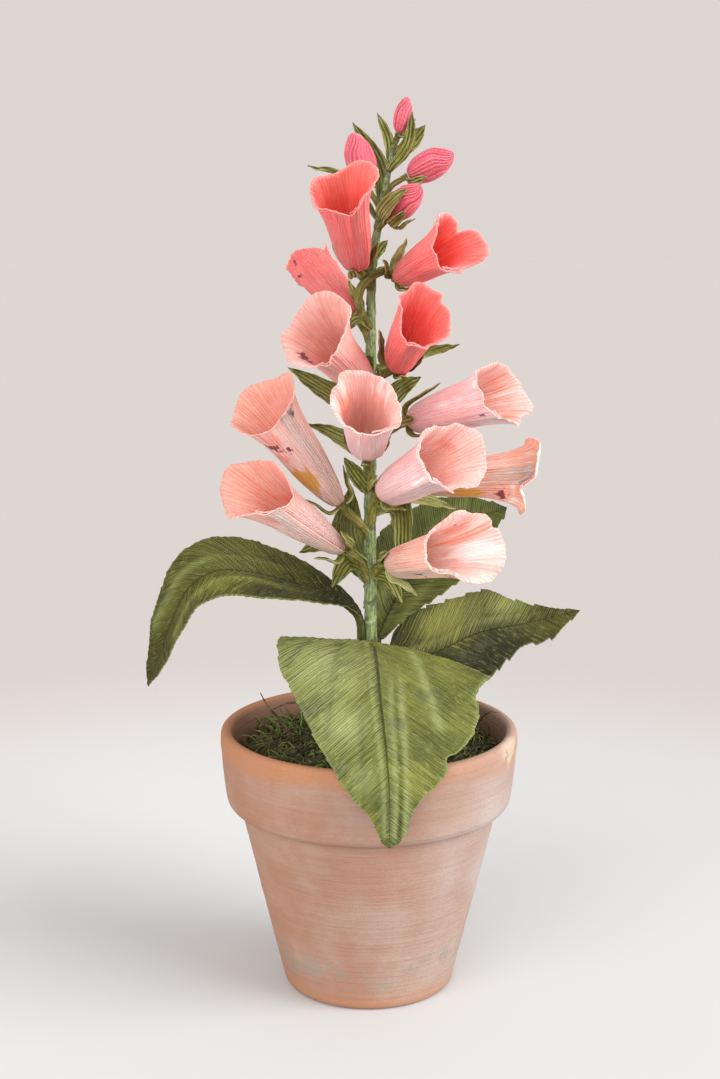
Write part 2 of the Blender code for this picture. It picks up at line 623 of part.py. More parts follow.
def make_pedicel(name, base, axis, root, thick, material, group):
    """A flower's own stalk, which leaves the stem and widens to a seat under the flower."""
    start = stem_spot(root)
    seat = base - axis * GAP
    neck = seat - axis * SEAT_DEPTH
    run = (neck - start).length
    first = start + Vector((0, 0, 0.3 * run)) + (neck - start) * 0.15
    last = neck - axis * 0.35 * run
    steps = 4
    points = []
    for k in range(steps + 1):
        t = k / steps
        points.append(start * (1 - t) ** 3 + first * 3 * t * (1 - t) ** 2
                      + last * 3 * t * t * (1 - t) + neck * t ** 3)
    radii = [thick] * len(points) + [thick * SEAT_SPREAD]
    return tube(name, points + [seat], radii, 6, material, group)


def make_sepals(name, base, axes, outline, sepals, material, group):
    """The sepals round the closed end of a flower, clear of its skin."""
    pieces = []
    for k, (roll, length, off) in enumerate(sepals):
        out = out_from(axes, roll)
        foot, shoulder = outline[1]
        middle, end = between(outline, length * 0.5), between(outline, length)
        spots = (
            base - axes[0] * SEPAL_ROOT + out * 0.3,
            base + axes[0] * (foot * 0.3 - 0.6) + out * (shoulder + SEPAL_ROOM),
            base + axes[0] * length * 0.5 + out * (middle + SEPAL_ROOM + off * 0.3),
            base + axes[0] * length + out * (end + SEPAL_ROOM + off),
        )
        width = SEPAL_WIDTH if length > LONG_SEPAL else SHORT_SEPAL_WIDTH
        pieces.append(make_blade("%s_sepal_%d" % (name, k), spots, width, out - axes[0],
                                 SEPAL_ROWS, material, group))
    return pieces


def make_stem(material, group):
    """The stem with every flower stalk, sepal and bract on it, as one body."""
    shares = [k / STEM_STEPS for k in range(STEM_STEPS + 1)]
    points = [curve_point(STEM_PATH, place_at(STEM_PATH, share)) for share in shares]
    radii = [between(STEM_RADII, p.z) for p in points]
    pieces = [tube("stem_rod", points, radii, STEM_SIDES, material, group)]
    for name, base, axes, outline, root, thick, sepals in flower_parts():
        pieces.append(make_pedicel(name + "_stalk", base, axes[0], root, thick, material, group))
        pieces += make_sepals(name, base, axes, outline, sepals, material, group)
    for k, bract in enumerate(BRACTS):
        pieces.append(make_blade("bract_%02d" % k, bract.points, bract.width, bract.faces,
                                 BRACT_ROWS, material, group))
    return fuse("stem", pieces, material, group)


def build():
    """Model the whole plant in its pot."""
    clear_scene()
    plant = new_collection("potted_foxglove")
    guides = new_collection("guides")
    clay = finish("terracotta", (0.55, 0.32, 0.22), 0.85)
    foam = finish("florists_foam", (0.10, 0.16, 0.07), 0.95)
    moss = finish("dried_moss", (0.03, 0.04, 0.015), 0.95)
    tape = finish("green_crepe", (0.14, 0.18, 0.05), 0.75)
    leaf_paper = finish("olive_crepe", (0.13, 0.17, 0.04), 0.75)
    coral = finish("coral_crepe", (0.80, 0.15, 0.14), 0.7)
    pale = finish("pale_pink_crepe", (0.85, 0.42, 0.36), 0.7)
    magenta = finish("magenta_crepe", (0.72, 0.10, 0.18), 0.7)

    make_pot(clay, plant)
    holes = make_holes(guides)
    cut(make_foam(foam, plant), holes)
    cut(make_moss(moss, plant), holes)
    make_stem(tape, plant)
    for leaf in LEAVES:
        make_leaf(leaf, leaf_paper, plant)
    for bell in CORAL_BELLS:
        make_bell(bell, coral, plant)
    for bell in PALE_BELLS:
        make_bell(bell, pale, plant)
    for bud in BUDS:
        make_bud(bud, magenta, plant)


build()
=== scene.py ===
import math
import random
from collections import namedtuple

import bmesh
import bpy
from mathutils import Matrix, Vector, noise


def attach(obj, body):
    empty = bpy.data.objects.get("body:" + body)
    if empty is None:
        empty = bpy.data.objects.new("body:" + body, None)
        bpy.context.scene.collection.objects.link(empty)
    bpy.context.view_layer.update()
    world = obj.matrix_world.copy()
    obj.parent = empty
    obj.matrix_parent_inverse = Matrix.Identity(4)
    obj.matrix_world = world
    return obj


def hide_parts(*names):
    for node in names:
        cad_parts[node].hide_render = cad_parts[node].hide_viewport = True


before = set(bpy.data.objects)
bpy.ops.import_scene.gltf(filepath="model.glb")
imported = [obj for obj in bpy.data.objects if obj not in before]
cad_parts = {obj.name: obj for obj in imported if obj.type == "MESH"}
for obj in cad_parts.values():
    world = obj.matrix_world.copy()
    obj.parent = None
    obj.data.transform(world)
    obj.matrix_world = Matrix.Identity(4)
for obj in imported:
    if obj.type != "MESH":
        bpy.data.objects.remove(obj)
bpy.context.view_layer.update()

# A foxglove made by hand of crepe paper, in a small terracotta pot with dried moss. Lengths
# are millimetres and angles degrees, with Z up, the front towards -Y and the origin under
# the middle of the pot. MM turns a finished mesh into metres.
MM = 0.001
WELD = 0.002
# A wave texture at this scale has one wave in each unit.
WAVE_UNIT = math.tau / 20

# ---- The camera and the light ----
CAMERA_PLACE = (-3.3, -602.4, 283.3)
CAMERA_TILT = 10.915
PHOTO_TALL = 1079
FOCAL_PIXELS = 1700
SENSOR = 36.0
FLOOR_HALF = 9000.0
FLOOR_LEVEL = -0.3
SKY_STRENGTH = 0.72
FLOOR_NEAR = 180.0
FLOOR_FAR = 500.0
# strength, spread in degrees, and where it comes from
LIGHTS = {
    "window": (3.0, 46.0, (0.82, -0.34, 0.46)),
    "bounce": (2.4, 60.0, (-0.45, -0.85, 0.32)),
}


def curve_point(points, place):
    """A spot on a smooth curve through the points; place 0 is the first one, 1 the second."""
    k = max(0, min(int(place), len(points) - 2))
    t = place - k
    a, b = Vector(points[k]), Vector(points[k + 1])
    before = Vector(points[k - 1]) if k else a * 2 - b
    after = Vector(points[k + 2]) if k + 2 < len(points) else b * 2 - a
    return 0.5 * (2 * a + (b - before) * t + (2 * before - 5 * a + 4 * b - after) * t * t
                  + (3 * a - before - 3 * b + after) * t ** 3)


def curve_heading(points, place):
    """The curve's direction there."""
    step = 0.02
    ahead = min(place + step, len(points) - 1)
    behind = max(place - step, 0)
    return (curve_point(points, ahead) - curve_point(points, behind)).normalized()


def place_at(points, share):
    """The place on the curve at a share of the length of the points' polygon."""
    lengths = [(Vector(b) - Vector(a)).length for a, b in zip(points, points[1:])]
    goal = min(max(share, 0.0), 1.0) * sum(lengths)
    for k, length in enumerate(lengths):
        if goal <= length or k == len(lengths) - 1:
            return k + min(goal / length, 1.0)
        goal -= length


def path_length(points):
    """The length of the points' polygon."""
    return sum((Vector(b) - Vector(a)).length for a, b in zip(points, points[1:]))


def between(table, value):
    """Read a table of (place, amount) pairs, with straight lines between them."""
    if value <= table[0][0]:
        return table[0][1]
    for (start, low), (end, high) in zip(table, table[1:]):
        if value <= end:
            return low + (high - low) * (value - start) / (end - start)
    return table[-1][1]


def rounded(table, value):
    """Read such a table with a smooth line through its pairs."""
    if value <= table[0][0]:
        return table[0][1]
    for k, ((start, _), (end, _)) in enumerate(zip(table, table[1:])):
        if value <= end:
            flat = [(0.0, amount, 0.0) for _, amount in table]
            return curve_point(flat, k + (value - start) / (end - start)).y
    return table[-1][1]


def bump(distance, width):
    """A soft hill: 1 in the middle, near 0 past its width."""
    return math.exp(-(distance / width) ** 2)


def ease(value, start, end):
    """0 up to start, 1 from end on, and smooth between them."""
    t = min(max((value - start) / (end - start), 0.0), 1.0)
    return t * t * (3 - 2 * t)


def turn_between(roll, other):
    """How far one roll is from another, from -180 to 180."""
    return (roll - other + 180) % 360 - 180


def hum(x, y, z=0.0):
    """Smooth noise from -1 to 1 whose lumps are about one unit apart."""
    return noise.noise(Vector((x, y, z)))


# ---- Meshes ----
# What the materials read from a mesh: reach is how far along a flower a spot is, heart how deep
# inside a bell or the pot, and the others are dabs of dye and wear, and some of painted light and
# shade. On the green papers and in the pleats of the buds the white marks are painted highlights
# and the rosy ones painted shade, and on the pot and on a few bells some marks are painted light
# and shade. Those that start with in_ are for a bell's inner face.
MARKS = ("reach", "white", "plum", "yellow", "rosy", "heart",
         "in_white", "in_plum", "in_yellow", "in_rosy")


def new_sheets():
    """An empty bmesh that holds the grain's own coordinates and the marks of the dye."""
    bm = bmesh.new()
    bm.loops.layers.uv.new("grain_mm")
    for name in MARKS:
        bm.verts.layers.float.new(name)
    return bm


def add_sheet(bm, columns, rows, place, measure, marks=None):
    """Add a grid: place puts its corners, measure gives the grain's coordinates in mm there,
    and marks the strength of each mark; all three take (across, along) from 0 to 1."""
    fresh = bmesh.ops.create_grid(bm, x_segments=columns, y_segments=rows, size=0.5)["verts"]
    grain = bm.loops.layers.uv["grain_mm"]
    for vert in fresh:
        across, along = vert.co.x + 0.5, vert.co.y + 0.5
        spot = measure(across, along)
        for loop in vert.link_loops:
            loop[grain].uv = spot
        if marks:
            for name, strength in marks(across, along).items():
                vert[bm.verts.layers.float[name]] = strength
        vert.co = place(across, along)


def add_rod(bm, points, radii, sides, rows, ridge=None):
    """Add a round rod along a smooth curve, closed at both ends. ridge(turn, run) is an
    extra radius where the rod has turned that share of a round after that many mm."""
    total = path_length(points)
    spots = []
    for k in range(rows + 1):
        at = place_at(points, k / rows)
        spots.append((curve_point(points, at), curve_heading(points, at),
                      between(radii, k / rows)))
    up = Vector((0, 0, 1)) if abs(spots[0][1].z) < 0.9 else Vector((1, 0, 0))
    frames = []
    for middle, heading, radius in spots:
        up = (up - heading * up.dot(heading)).normalized()
        frames.append((middle, up.copy(), heading.cross(up), radius))
    last = rows + 2

    def place(across, along):
        k = round(along * last)
        middle, first, second, radius = frames[min(max(k - 1, 0), rows)]
        if k in (0, last):
            return middle
        turn = math.tau * across
        run = total * (k - 1) / rows
        radius += ridge(across % 1.0, run) if ridge else 0.0
        return middle + (first * math.cos(turn) + second * math.sin(turn)) * radius

    # The grain counts 1 mm for each side of the rod, which puts the crinkles round a stalk 0.4 to
    # 0.5 mm apart, as real ones are.
    def measure(across, along):
        return across * sides, total * along

    add_sheet(bm, sides, last, place, measure)


def finished(bm, name, node, slot, *materials):
    """Close the seams of a bmesh in millimetres, and turn it into a piece of the plant."""
    bmesh.ops.remove_doubles(bm, verts=bm.verts, dist=WELD)
    bmesh.ops.dissolve_degenerate(bm, edges=bm.edges, dist=WELD / 2)
    bmesh.ops.scale(bm, vec=(MM, MM, MM), verts=bm.verts)
    mesh = bpy.data.meshes.new(name)
    bm.to_mesh(mesh)
    bm.free()
    for material in materials:
        mesh.materials.append(material)
    mesh.shade_smooth()
    piece = bpy.data.objects.new(name, mesh)
    bpy.context.scene.collection.objects.link(piece)
    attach(piece, "root")
    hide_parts(node)
    return piece


def thicken(piece, wall, offset=0.0, inside=0):
    """Give paper its thickness, in mm. Its inner face may have its own finish."""
    solid = piece.modifiers.new("paper_thickness", "SOLIDIFY")
    solid.thickness = wall * MM
    solid.offset = offset
    solid.material_offset = inside


# ---- Materials ----
SMOOTH = {"interpolation_type": "SMOOTHSTEP"}
GRAIN = {"uv_map": "grain_mm"}


def dye(hex_colour):
    """A linear colour from an sRGB hex value."""
    parts = [int(hex_colour[k:k + 2], 16) / 255 for k in (1, 3, 5)]
    return (*(c / 12.92 if c <= 0.04045 else ((c + 0.055) / 1.055) ** 2.4 for c in parts), 1.0)


def add_node(tree, kind, settings, inputs):
    """Add a node with its settings, and with values or links on its inputs."""
    made = tree.nodes.new(kind)
    for name, value in settings.items():
        setattr(made, name, value)
    for name, value in inputs.items():
        if isinstance(value, bpy.types.NodeSocket):
            tree.links.new(value, made.inputs[name])
        else:
            made.inputs[name].default_value = value
    return made


def new_material(name, roughness, specular):
    """A material with an empty Principled shader, its tree and its shader."""
    material = bpy.data.materials.new(name)
    material.use_nodes = True
    tree = material.node_tree
    shader = tree.nodes["Principled BSDF"]
    shader.inputs["Roughness"].default_value = roughness
    shader.inputs["Specular IOR Level"].default_value = specular
    return material, tree, shader


def streaks(tree, surface, wide, long, detail, low, high, shift=0.0):
    """Noise drawn out along the second coordinate, from 0 to 1. Sizes are millimetres."""
    placed = add_node(tree, "ShaderNodeMapping", {}, {
        "Vector": surface, "Scale": (1 / wide, 1 / long, 1 / long), "Location": (shift, shift, 0)})
    cloud = add_node(tree, "ShaderNodeTexNoise", {}, {
        "Vector": placed.outputs[0], "Scale": 1.0, "Detail": detail, "Roughness": 0.6})
    return add_node(tree, "ShaderNodeMapRange", SMOOTH, {
        "Value": cloud.outputs[0], "From Min": low, "From Max": high}).outputs[0]


def ridges(tree, surface, pitch, long):
    """Crinkles that run along the second coordinate, a pitch in mm apart and a little uneven."""
    placed = add_node(tree, "ShaderNodeMapping", {}, {
        "Vector": surface, "Scale": (1 / pitch, 1 / long, 1 / long)})
    return add_node(tree, "ShaderNodeTexWave", {"bands_direction": "X"}, {
        "Vector": placed.outputs[0], "Scale": WAVE_UNIT, "Distortion": 3.6, "Detail": 2.0,
        "Detail Scale": 1.4}).outputs[1]


def coats(tree, shader, ground, layers):
    """Paint the shader: on its ground colour each layer of (where, how strongly, colour)."""
    below = dye(ground)
    for where, strength, colour in layers:
        cover = add_node(tree, "ShaderNodeMath", {"operation": "MULTIPLY"}, {
            0: where, 1: strength})
        below = add_node(tree, "ShaderNodeMix", {"data_type": "RGBA"}, {
            0: cover.outputs[0], 6: below, 7: dye(colour)}).outputs[2]
    tree.links.new(below, shader.inputs["Base Color"])


def dabbed(tree, mark, cloud):
    """Where one of the mesh's own marks is, with its edge broken up by a pattern."""
    spot = add_node(tree, "ShaderNodeAttribute", {"attribute_name": mark}, {}).outputs["Fac"]
    mixed = add_node(tree, "ShaderNodeMath", {"operation": "MULTIPLY_ADD"}, {
        0: cloud, 1: 0.6, 2: spot}).outputs[0]
    return add_node(tree, "ShaderNodeMapRange", SMOOTH, {
        "Value": mixed, "From Min": 0.60, "From Max": 1.05}).outputs[0]


def relief(tree, shader, heights, strength):
    """Raise the surface by patterns, each with its height in millimetres."""
    normal = None
    for value, height in heights:
        inputs = {"Height": value, "Distance": height * MM, "Strength": strength}
        if normal:
            inputs["Normal"] = normal
        normal = add_node(tree, "ShaderNodeBump", {}, inputs).outputs[0]
    tree.links.new(normal, shader.inputs["Normal"])


def make_flower_paper(name, colours, face=""):
    """Doubled crepe paper, dyed and brushed with watercolour: matt and see-through enough to
    glow, with fine crinkles that run down the flower. The real crinkles are 0.5 mm apart, and
    are drawn 0.8 mm apart, so that they show. face is how the marks of its face start."""
    wall, shade, light, rim, base, heart = colours
    material, tree, shader = new_material(name, 0.74, 0.25)
    surface = add_node(tree, "ShaderNodeUVMap", GRAIN, {}).outputs[0]
    solid = add_node(tree, "ShaderNodeTexCoord", {}, {}).outputs["Object"]
    crinkle = ridges(tree, surface, 0.8, 20.0)
    brush = streaks(tree, surface, 1.5, 26.0, 3.0, 0.46, 0.70, 7.0)
    vein = streaks(tree, surface, 0.8, 24.0, 2.0, 0.50, 0.66, 31.0)
    wash = streaks(tree, solid, 9.0 * MM, 9.0 * MM, 4.0, 0.42, 0.62)
    fleck = streaks(tree, surface, 1.0, 2.2, 1.0, 0.48, 0.58, 3.0)
    reach = add_node(tree, "ShaderNodeAttribute", {"attribute_name": "reach"}, {}).outputs["Fac"]
    deep = add_node(tree, "ShaderNodeAttribute", {"attribute_name": "heart"}, {}).outputs["Fac"]
    low, lip = (
        add_node(tree, "ShaderNodeMapRange", SMOOTH, {
            "Value": reach, "From Min": start, "From Max": end}).outputs[0]
        for start, end in ((0.40, 0.02), (0.965, 0.995)))
    coats(tree, shader, wall, (
        # On the inner face, the deep colour round the closed end is a painted glow of light that
        # shines through the paper.
        (deep, 1.0 if face else 0.0, heart),
        (wash, 0.45, shade),
        (low, 0.6, base),
        (brush, 0.38, light),
        (vein, 0.32, shade),
        (dabbed(tree, face + "rosy", vein), 0.85, heart),
        (dabbed(tree, face + "white", brush), 0.85, "#FDECE8"),
        (lip, 0.45, rim),
        (crinkle, 0.36, light),
        (dabbed(tree, face + "yellow", brush), 0.9, "#CF9520"),
        (dabbed(tree, face + "plum", fleck), 0.95, "#5F2440"),
    ))
    shader.inputs["Subsurface Weight"].default_value = 0.85
    shader.inputs["Subsurface Radius"].default_value = (1.0, 0.65, 0.58)
    shader.inputs["Subsurface Scale"].default_value = 2.0 * MM
    shader.inputs["Sheen Weight"].default_value = 0.12
    shader.inputs["Sheen Roughness"].default_value = 0.6
    relief(tree, shader, ((brush, 0.16), (vein, -0.08), (crinkle, 0.20)), 1.0)
    return material


# Green papers: four colours (ground, dark for blotches of dye and painted shade, light, and tip
# for painted highlights and glints), the pitch and length of the crinkles and the size of the
# clouds of dye in mm, how uneven the dye is, and how much wax the paper has
Green = namedtuple("Green", "ground dark light tip pitch long cloud uneven gloss",
                   defaults=(9.0, 0.6, 0.30))
GREEN_PAPERS = {
    "green_crepe_tape": Green("#8FA45E", "#222A0C", "#B9CE90", "#EEFAE0", 0.8, 9, 3.2, 0.95, 0.6),
    "olive_crepe_tape": Green("#878338", "#474110", "#AAA65A", "#C8D098", 0.8, 9, 4, 0.8),
    "sepal_crepe": Green("#787228", "#443D0C", "#A09A42", "#C3CE90", 0.9, 12, 5),
    "bract_crepe": Green("#6C6C24", "#37350A", "#8F9140", "#B0B774", 0.9, 12, 6),
    "olive_crepe_leaf": Green("#5F6529", "#3A4116", "#828B39", "#B0BC80", 0.8, 26),
    "dark_olive_crepe_leaf": Green("#454710", "#22240A", "#66681E", "#9CA65E", 0.8, 26),
    # The leaf at the back gets a darker paper, as painted shade.
    "olive_crepe_leaf_painted_shade": Green("#474E16", "#272A08", "#626A24", "#78823E", 0.8, 26),
}


def make_green_paper(name):
    """Green crepe paper, waxed a little: crinkled like the flowers, with a dull gloss on its
    ridges and uneven dye, painted glints, and painted highlights and shade where the mesh's marks
    are. The real crinkles are 0.5 mm apart. Those of the leaves, sepals and bracts are drawn 0.8
    or 0.9 mm apart, so that they show."""
    look = GREEN_PAPERS[name]
    pitch, long, cloud = look.pitch, look.long, look.cloud
    material, tree, shader = new_material(name, 0.66 - 0.45 * look.gloss, look.gloss)
    surface = add_node(tree, "ShaderNodeUVMap", GRAIN, {}).outputs[0]
    solid = add_node(tree, "ShaderNodeTexCoord", {}, {}).outputs["Object"]
    crinkle = ridges(tree, surface, pitch, long)
    furrow = streaks(tree, surface, pitch * 1.6, long, 2.0, 0.44, 0.64, 11.0)
    glint = streaks(tree, surface, pitch * 1.2, 3.2, 3.0, 0.50, 0.74, 23.0)
    blotch = streaks(tree, solid, cloud * MM, cloud * MM, 5.0, 0.46, 0.62)
    patch = streaks(tree, solid, cloud * 2.4 * MM, cloud * 2.4 * MM, 3.0, 0.48, 0.62)
    pale, deep = (
        add_node(tree, "ShaderNodeAttribute", {"attribute_name": mark}, {}).outputs["Fac"]
        for mark in ("white", "rosy"))
    coats(tree, shader, look.ground, (
        (patch, look.uneven * 0.6, look.light),
        (blotch, look.uneven, look.dark),
        (furrow, 0.40, look.dark),
        (crinkle, 0.48, look.light),
        # Painted shade where the mesh has rosy marks, and painted highlights where it has white
        # ones, which also hold the real paleness of the pale blades.
        (deep, 0.9, look.dark),
        (pale, 0.8, look.tip),
        (dabbed(tree, "plum", blotch), 0.34, "#4C5640"),
        (dabbed(tree, "yellow", furrow), 0.35, "#A09C46"),
        # Glints: pale specks painted as highlights.
        (glint, 0.34, look.tip),
    ))
    shader.inputs["Subsurface Weight"].default_value = 0.08
    shader.inputs["Subsurface Scale"].default_value = 1.0 * MM
    relief(tree, shader, ((furrow, -0.22), (crinkle, 0.22), (glint, 0.20)), 1.0)
    return material


def make_terracotta():
    """Fired red clay with a pale bloom of lime: chalky and dull, with turning marks and brushed
    whitewash that run round it, orange on the lip, where the bloom has worn off. The whitewash is
    painted stronger on the right and the lip paler there, as painted light, and the left side more
    orange, as painted shade."""
    material, tree, shader = new_material("terracotta_fired", 0.86, 0.25)
    surface = add_node(tree, "ShaderNodeUVMap", GRAIN, {}).outputs[0]
    solid = add_node(tree, "ShaderNodeTexCoord", {}, {}).outputs["Object"]
    bloom = streaks(tree, solid, 24.0 * MM, 24.0 * MM, 5.0, 0.40, 0.66)
    brushed = streaks(tree, surface, 36.0, 2.4, 4.0, 0.46, 0.70, 5.0)
    turned = streaks(tree, surface, 90.0, 1.6, 2.0, 0.35, 0.65, 17.0)
    grit = streaks(tree, solid, 0.9 * MM, 0.9 * MM, 3.0, 0.45, 0.70)
    stain = streaks(tree, solid, 9.0 * MM, 9.0 * MM, 5.0, 0.44, 0.62)
    worn, inner, whitewash_and_painted_light = (
        add_node(tree, "ShaderNodeAttribute", {"attribute_name": mark}, {}).outputs["Fac"]
        for mark in ("rosy", "heart", "white"))
    coats(tree, shader, "#A07A68", (
        (bloom, 0.52, "#AE9B90"),
        (brushed, 0.12, "#C6B4AA"),
        (turned, 0.08, "#96705C"),
        # Whitewash, painted stronger on the right as painted light; then the worn orange of the
        # lip and foot, which also paints shade over the left side.
        (whitewash_and_painted_light, 1.0, "#C6C1BD"),
        (worn, 0.85, "#B87F58"),
        (dabbed(tree, "plum", stain), 0.42, "#8A897C"),
        (dabbed(tree, "yellow", stain), 0.5, "#D8CDB2"),
        (inner, 0.9, "#97725E"),
        (grit, 0.16, "#96705C"),
    ))
    relief(tree, shader, ((turned, 0.16), (grit, 0.12)), 0.6)
    return material


def make_moss_fibre(name, colours):
    """Dried sheet moss: matt, wiry threads, nearly black where they lie deep."""
    ground, dark, light = colours
    material, tree, shader = new_material(name, 0.8, 0.3)
    solid = add_node(tree, "ShaderNodeTexCoord", {}, {}).outputs["Object"]
    clump = streaks(tree, solid, 7.0 * MM, 7.0 * MM, 3.0, 0.40, 0.62)
    fibre = streaks(tree, solid, 1.4 * MM, 1.4 * MM, 2.0, 0.48, 0.68)
    coats(tree, shader, ground, ((clump, 0.8, dark), (fibre, 0.6, light)))
    relief(tree, shader, ((fibre, 0.3),), 0.7)
    return material


def make_foam():
    """Florist's foam: dry, dark green and finely porous."""
    material, tree, shader = new_material("florists_foam_dry", 0.95, 0.1)
    solid = add_node(tree, "ShaderNodeTexCoord", {}, {}).outputs["Object"]
    pores = streaks(tree, solid, 1.0 * MM, 1.0 * MM, 2.0, 0.42, 0.60)
    coats(tree, shader, "#2F3D26", ((pores, 0.7, "#1B2416"),))
    relief(tree, shader, ((pores, 0.4),), 0.8)
    return material


# ---- The pot ----
MOUTH_RADIUS = 50.2
# (radius, height), from inside the lip outwards, down to the foot and back up inside
POT_PROFILE = (
    (50.6, 96.8), (51, 97.2), (51.6, 97.5), (52.3, 97.6), (53, 97.5), (53.6, 97.2), (54.1, 96.7),
    (54.4, 96), (54.5, 95), (54.45, 92), (54.1, 88), (53.8, 84), (53.3, 79), (52.7, 74),
    (52.4, 72), (52, 70.8), (51.3, 69.9), (50.3, 69.2), (49, 68.6), (48, 68.2), (47.4, 67.6),
    (47.1, 66.6), (46.9, 65.4), (44, 53), (39, 32), (34, 10.9), (31.9, 2.4), (31.5, 1),
    (30.8, 0.2), (30, 0), (24, 0.05), (12, 0.05), (7, 0), (6.2, 0.3), (6, 1.2), (6, 6), (6.4, 6.9),
    (7.2, 7), (16, 7), (24.6, 7), (25.8, 7.5), (27, 11), (34, 37), (41.6, 64.4), (42.6, 67.2),
    (48.4, 73.8), (49, 75.6), (49.6, 86), (50.2, 95.4),
)
POT_SIDES = 144
POT_ROW = 2.6
POT_GIRTH = 300.0
# The first part of the profile is the pot's outside, its underside and its drain hole.
OUTSIDE_RUN = 150.0
# The walls between these heights are uneven by so many mm. The lip, the foot and the drain hole
# stay true.
UNEVEN_PAST = 8
UNEVEN_HEIGHTS = (2, 97)
TURNING = 0.16
OUT_OF_ROUND = 0.22
# A grey smudge on the left near the foot and a pale splash on the right of the collar, each with
# its place and width, and the height and width of the smudged band round the foot
SMUDGE = ((-31.0, -18.0, 14.0), 10.0)
SPLASH = ((49.0, -20.0, 93.0), 7.0)
SMUDGE_BAND = (15.0, 6.0)
# The bloom is worn off the lip down to this height.
WORN_DOWN_TO = 90.0


def make_pot():
    """The pot, turned from its profile, a little out of round and with turning marks."""
    loop = list(POT_PROFILE) + [POT_PROFILE[0]]
    steps = [math.dist(a, b) for a, b in zip(loop, loop[1:])]
    total = sum(steps)

    def profile(along):
        goal = along * total
        for a, b, step in zip(loop, loop[1:], steps):
            if goal <= step or b is loop[-1] and goal <= step + 1e-6:
                t = min(goal / step, 1.0)
                return a[0] + (b[0] - a[0]) * t, a[1] + (b[1] - a[1]) * t
            goal -= step
        return loop[0]

    # More rows where the profile is rounded: each of its points gets one, and the long
    # straight parts the rest.
    rows = []
    run = 0.0
    for step in steps:
        parts = max(1, round(step / POT_ROW))
        rows += [(run + step * k / parts) / total for k in range(parts)]
        run += step
    rows.append(1.0)
    last = len(rows) - 1

    def place(across, along):
        radius, height = profile(rows[round(along * last)])
        turn = -math.tau * across
        x, y = math.cos(turn), math.sin(turn)
        if radius > UNEVEN_PAST and UNEVEN_HEIGHTS[0] < height < UNEVEN_HEIGHTS[1]:
            radius += (TURNING * hum(0.0, height * 0.55, 3.0)
                       + OUT_OF_ROUND * hum(x * 1.3, y * 1.3, height * 0.03))
        return Vector((x * radius, y * radius, height))

    def measure(across, along):
        return across * POT_GIRTH, rows[round(along * last)] * total

    def marks(across, along):
        share = rows[round(along * last)]
        radius, height = profile(share)
        turn = -math.tau * across
        x, y = math.cos(turn) * radius, math.sin(turn) * radius
        inner = 0.0
        if share * total >= OUTSIDE_RUN:
            inner = 1.0 - ease(radius, MOUTH_RADIUS - 0.4, MOUTH_RADIUS + 1.2)
        worn_to = WORN_DOWN_TO + 3.4 * hum(math.cos(turn) * 1.7, math.sin(turn) * 1.7)
        lip = ease(height, worn_to - 3.0, worn_to + 1.5) * (1 - inner)
        # The worn lip is painted paler towards the right, as painted light.
        lip *= 1 - 0.55 * ease(x, -5.0, 42.0)
        # Orange round the foot, and over the left side as painted shade.
        foot = 0.5 * (1 - ease(height, 1.0, 9.0)) + 0.30 * ease(-x, 0.0, 45.0)
        smudge, splash = (bump(math.dist((x, y, height), spot), wide)
                          for spot, wide in (SMUDGE, SPLASH))
        band = 0.62 * bump(height - SMUDGE_BAND[0], SMUDGE_BAND[1])
        # Uneven whitewash, painted stronger towards the right as painted light.
        whitewash_and_painted_light = 0.55 * ease(x, 2.0, 46.0) * (0.7 + 0.5 * hum(x * 0.05, y * 0.05, height * 0.07))
        return {"rosy": max(lip * 0.9, foot * (1 - inner)), "heart": inner, "white": whitewash_and_painted_light,
                "plum": max(smudge, band), "yellow": 0.8 * splash}

    bm = new_sheets()
    add_sheet(bm, POT_SIDES, last, place, measure, marks)
    finished(bm, "pot_turned", "pot", "terracotta", make_terracotta())


# ---- The moss ----
# The mat of moss lies on the foam, and MOSS_LIFT above it so that they don't touch.
FOAM_TOP = 76.0
MOSS_RADIUS = 48.0
MOSS_LIFT = 0.3
MAT_COLOURS = ("#3F4128", "#1B1C10", "#6A6E42")
MAT_GIRTH = 150.0
MAT_SIDES = 96
MAT_RINGS = 28
STRAND_SIDES = 3
STRAND_TAPER = ((0, 1.0), (0.6, 0.8), (1, 0.3))
MOSS_SEED = 11
# The loose moss: the piece, its material and its ground, dark and light colour, how many, how
# far from the edge of the mat, least and greatest length, thickness, how high they arch, and
# how many rows each has
Loose = namedtuple("Loose", "name fibre colours count inset low high thick lift rows")
LOOSE_MOSS = (
    Loose("moss_strands", "dried_moss_threads", ("#686838", "#2C2C14", "#A6A468"),
          1500, 1.5, 3.5, 10, 0.38, 1.4, 5),
    Loose("moss_green_curls", "fresh_moss_curls", ("#64883A", "#3E5C28", "#98B45C"),
          26, 4, 9, 17, 0.6, 1.5, 9),
    Loose("moss_twigs", "dry_twigs", ("#5E4A30", "#33271A", "#94805A"),
          16, 8, 14, 24, 0.65, 1.5, 8),
)


def moss_height(x, y):
    """How high the mat of moss stands above the foam."""
    far = math.hypot(x, y) / MOSS_RADIUS
    lumps = math.sin(x * 0.31 + 1.0) * math.cos(y * 0.27) + 0.6 * math.sin(x * 0.17 - y * 0.43)
    return 11.0 + 7.0 * (1 - far * far) + 1.3 * lumps


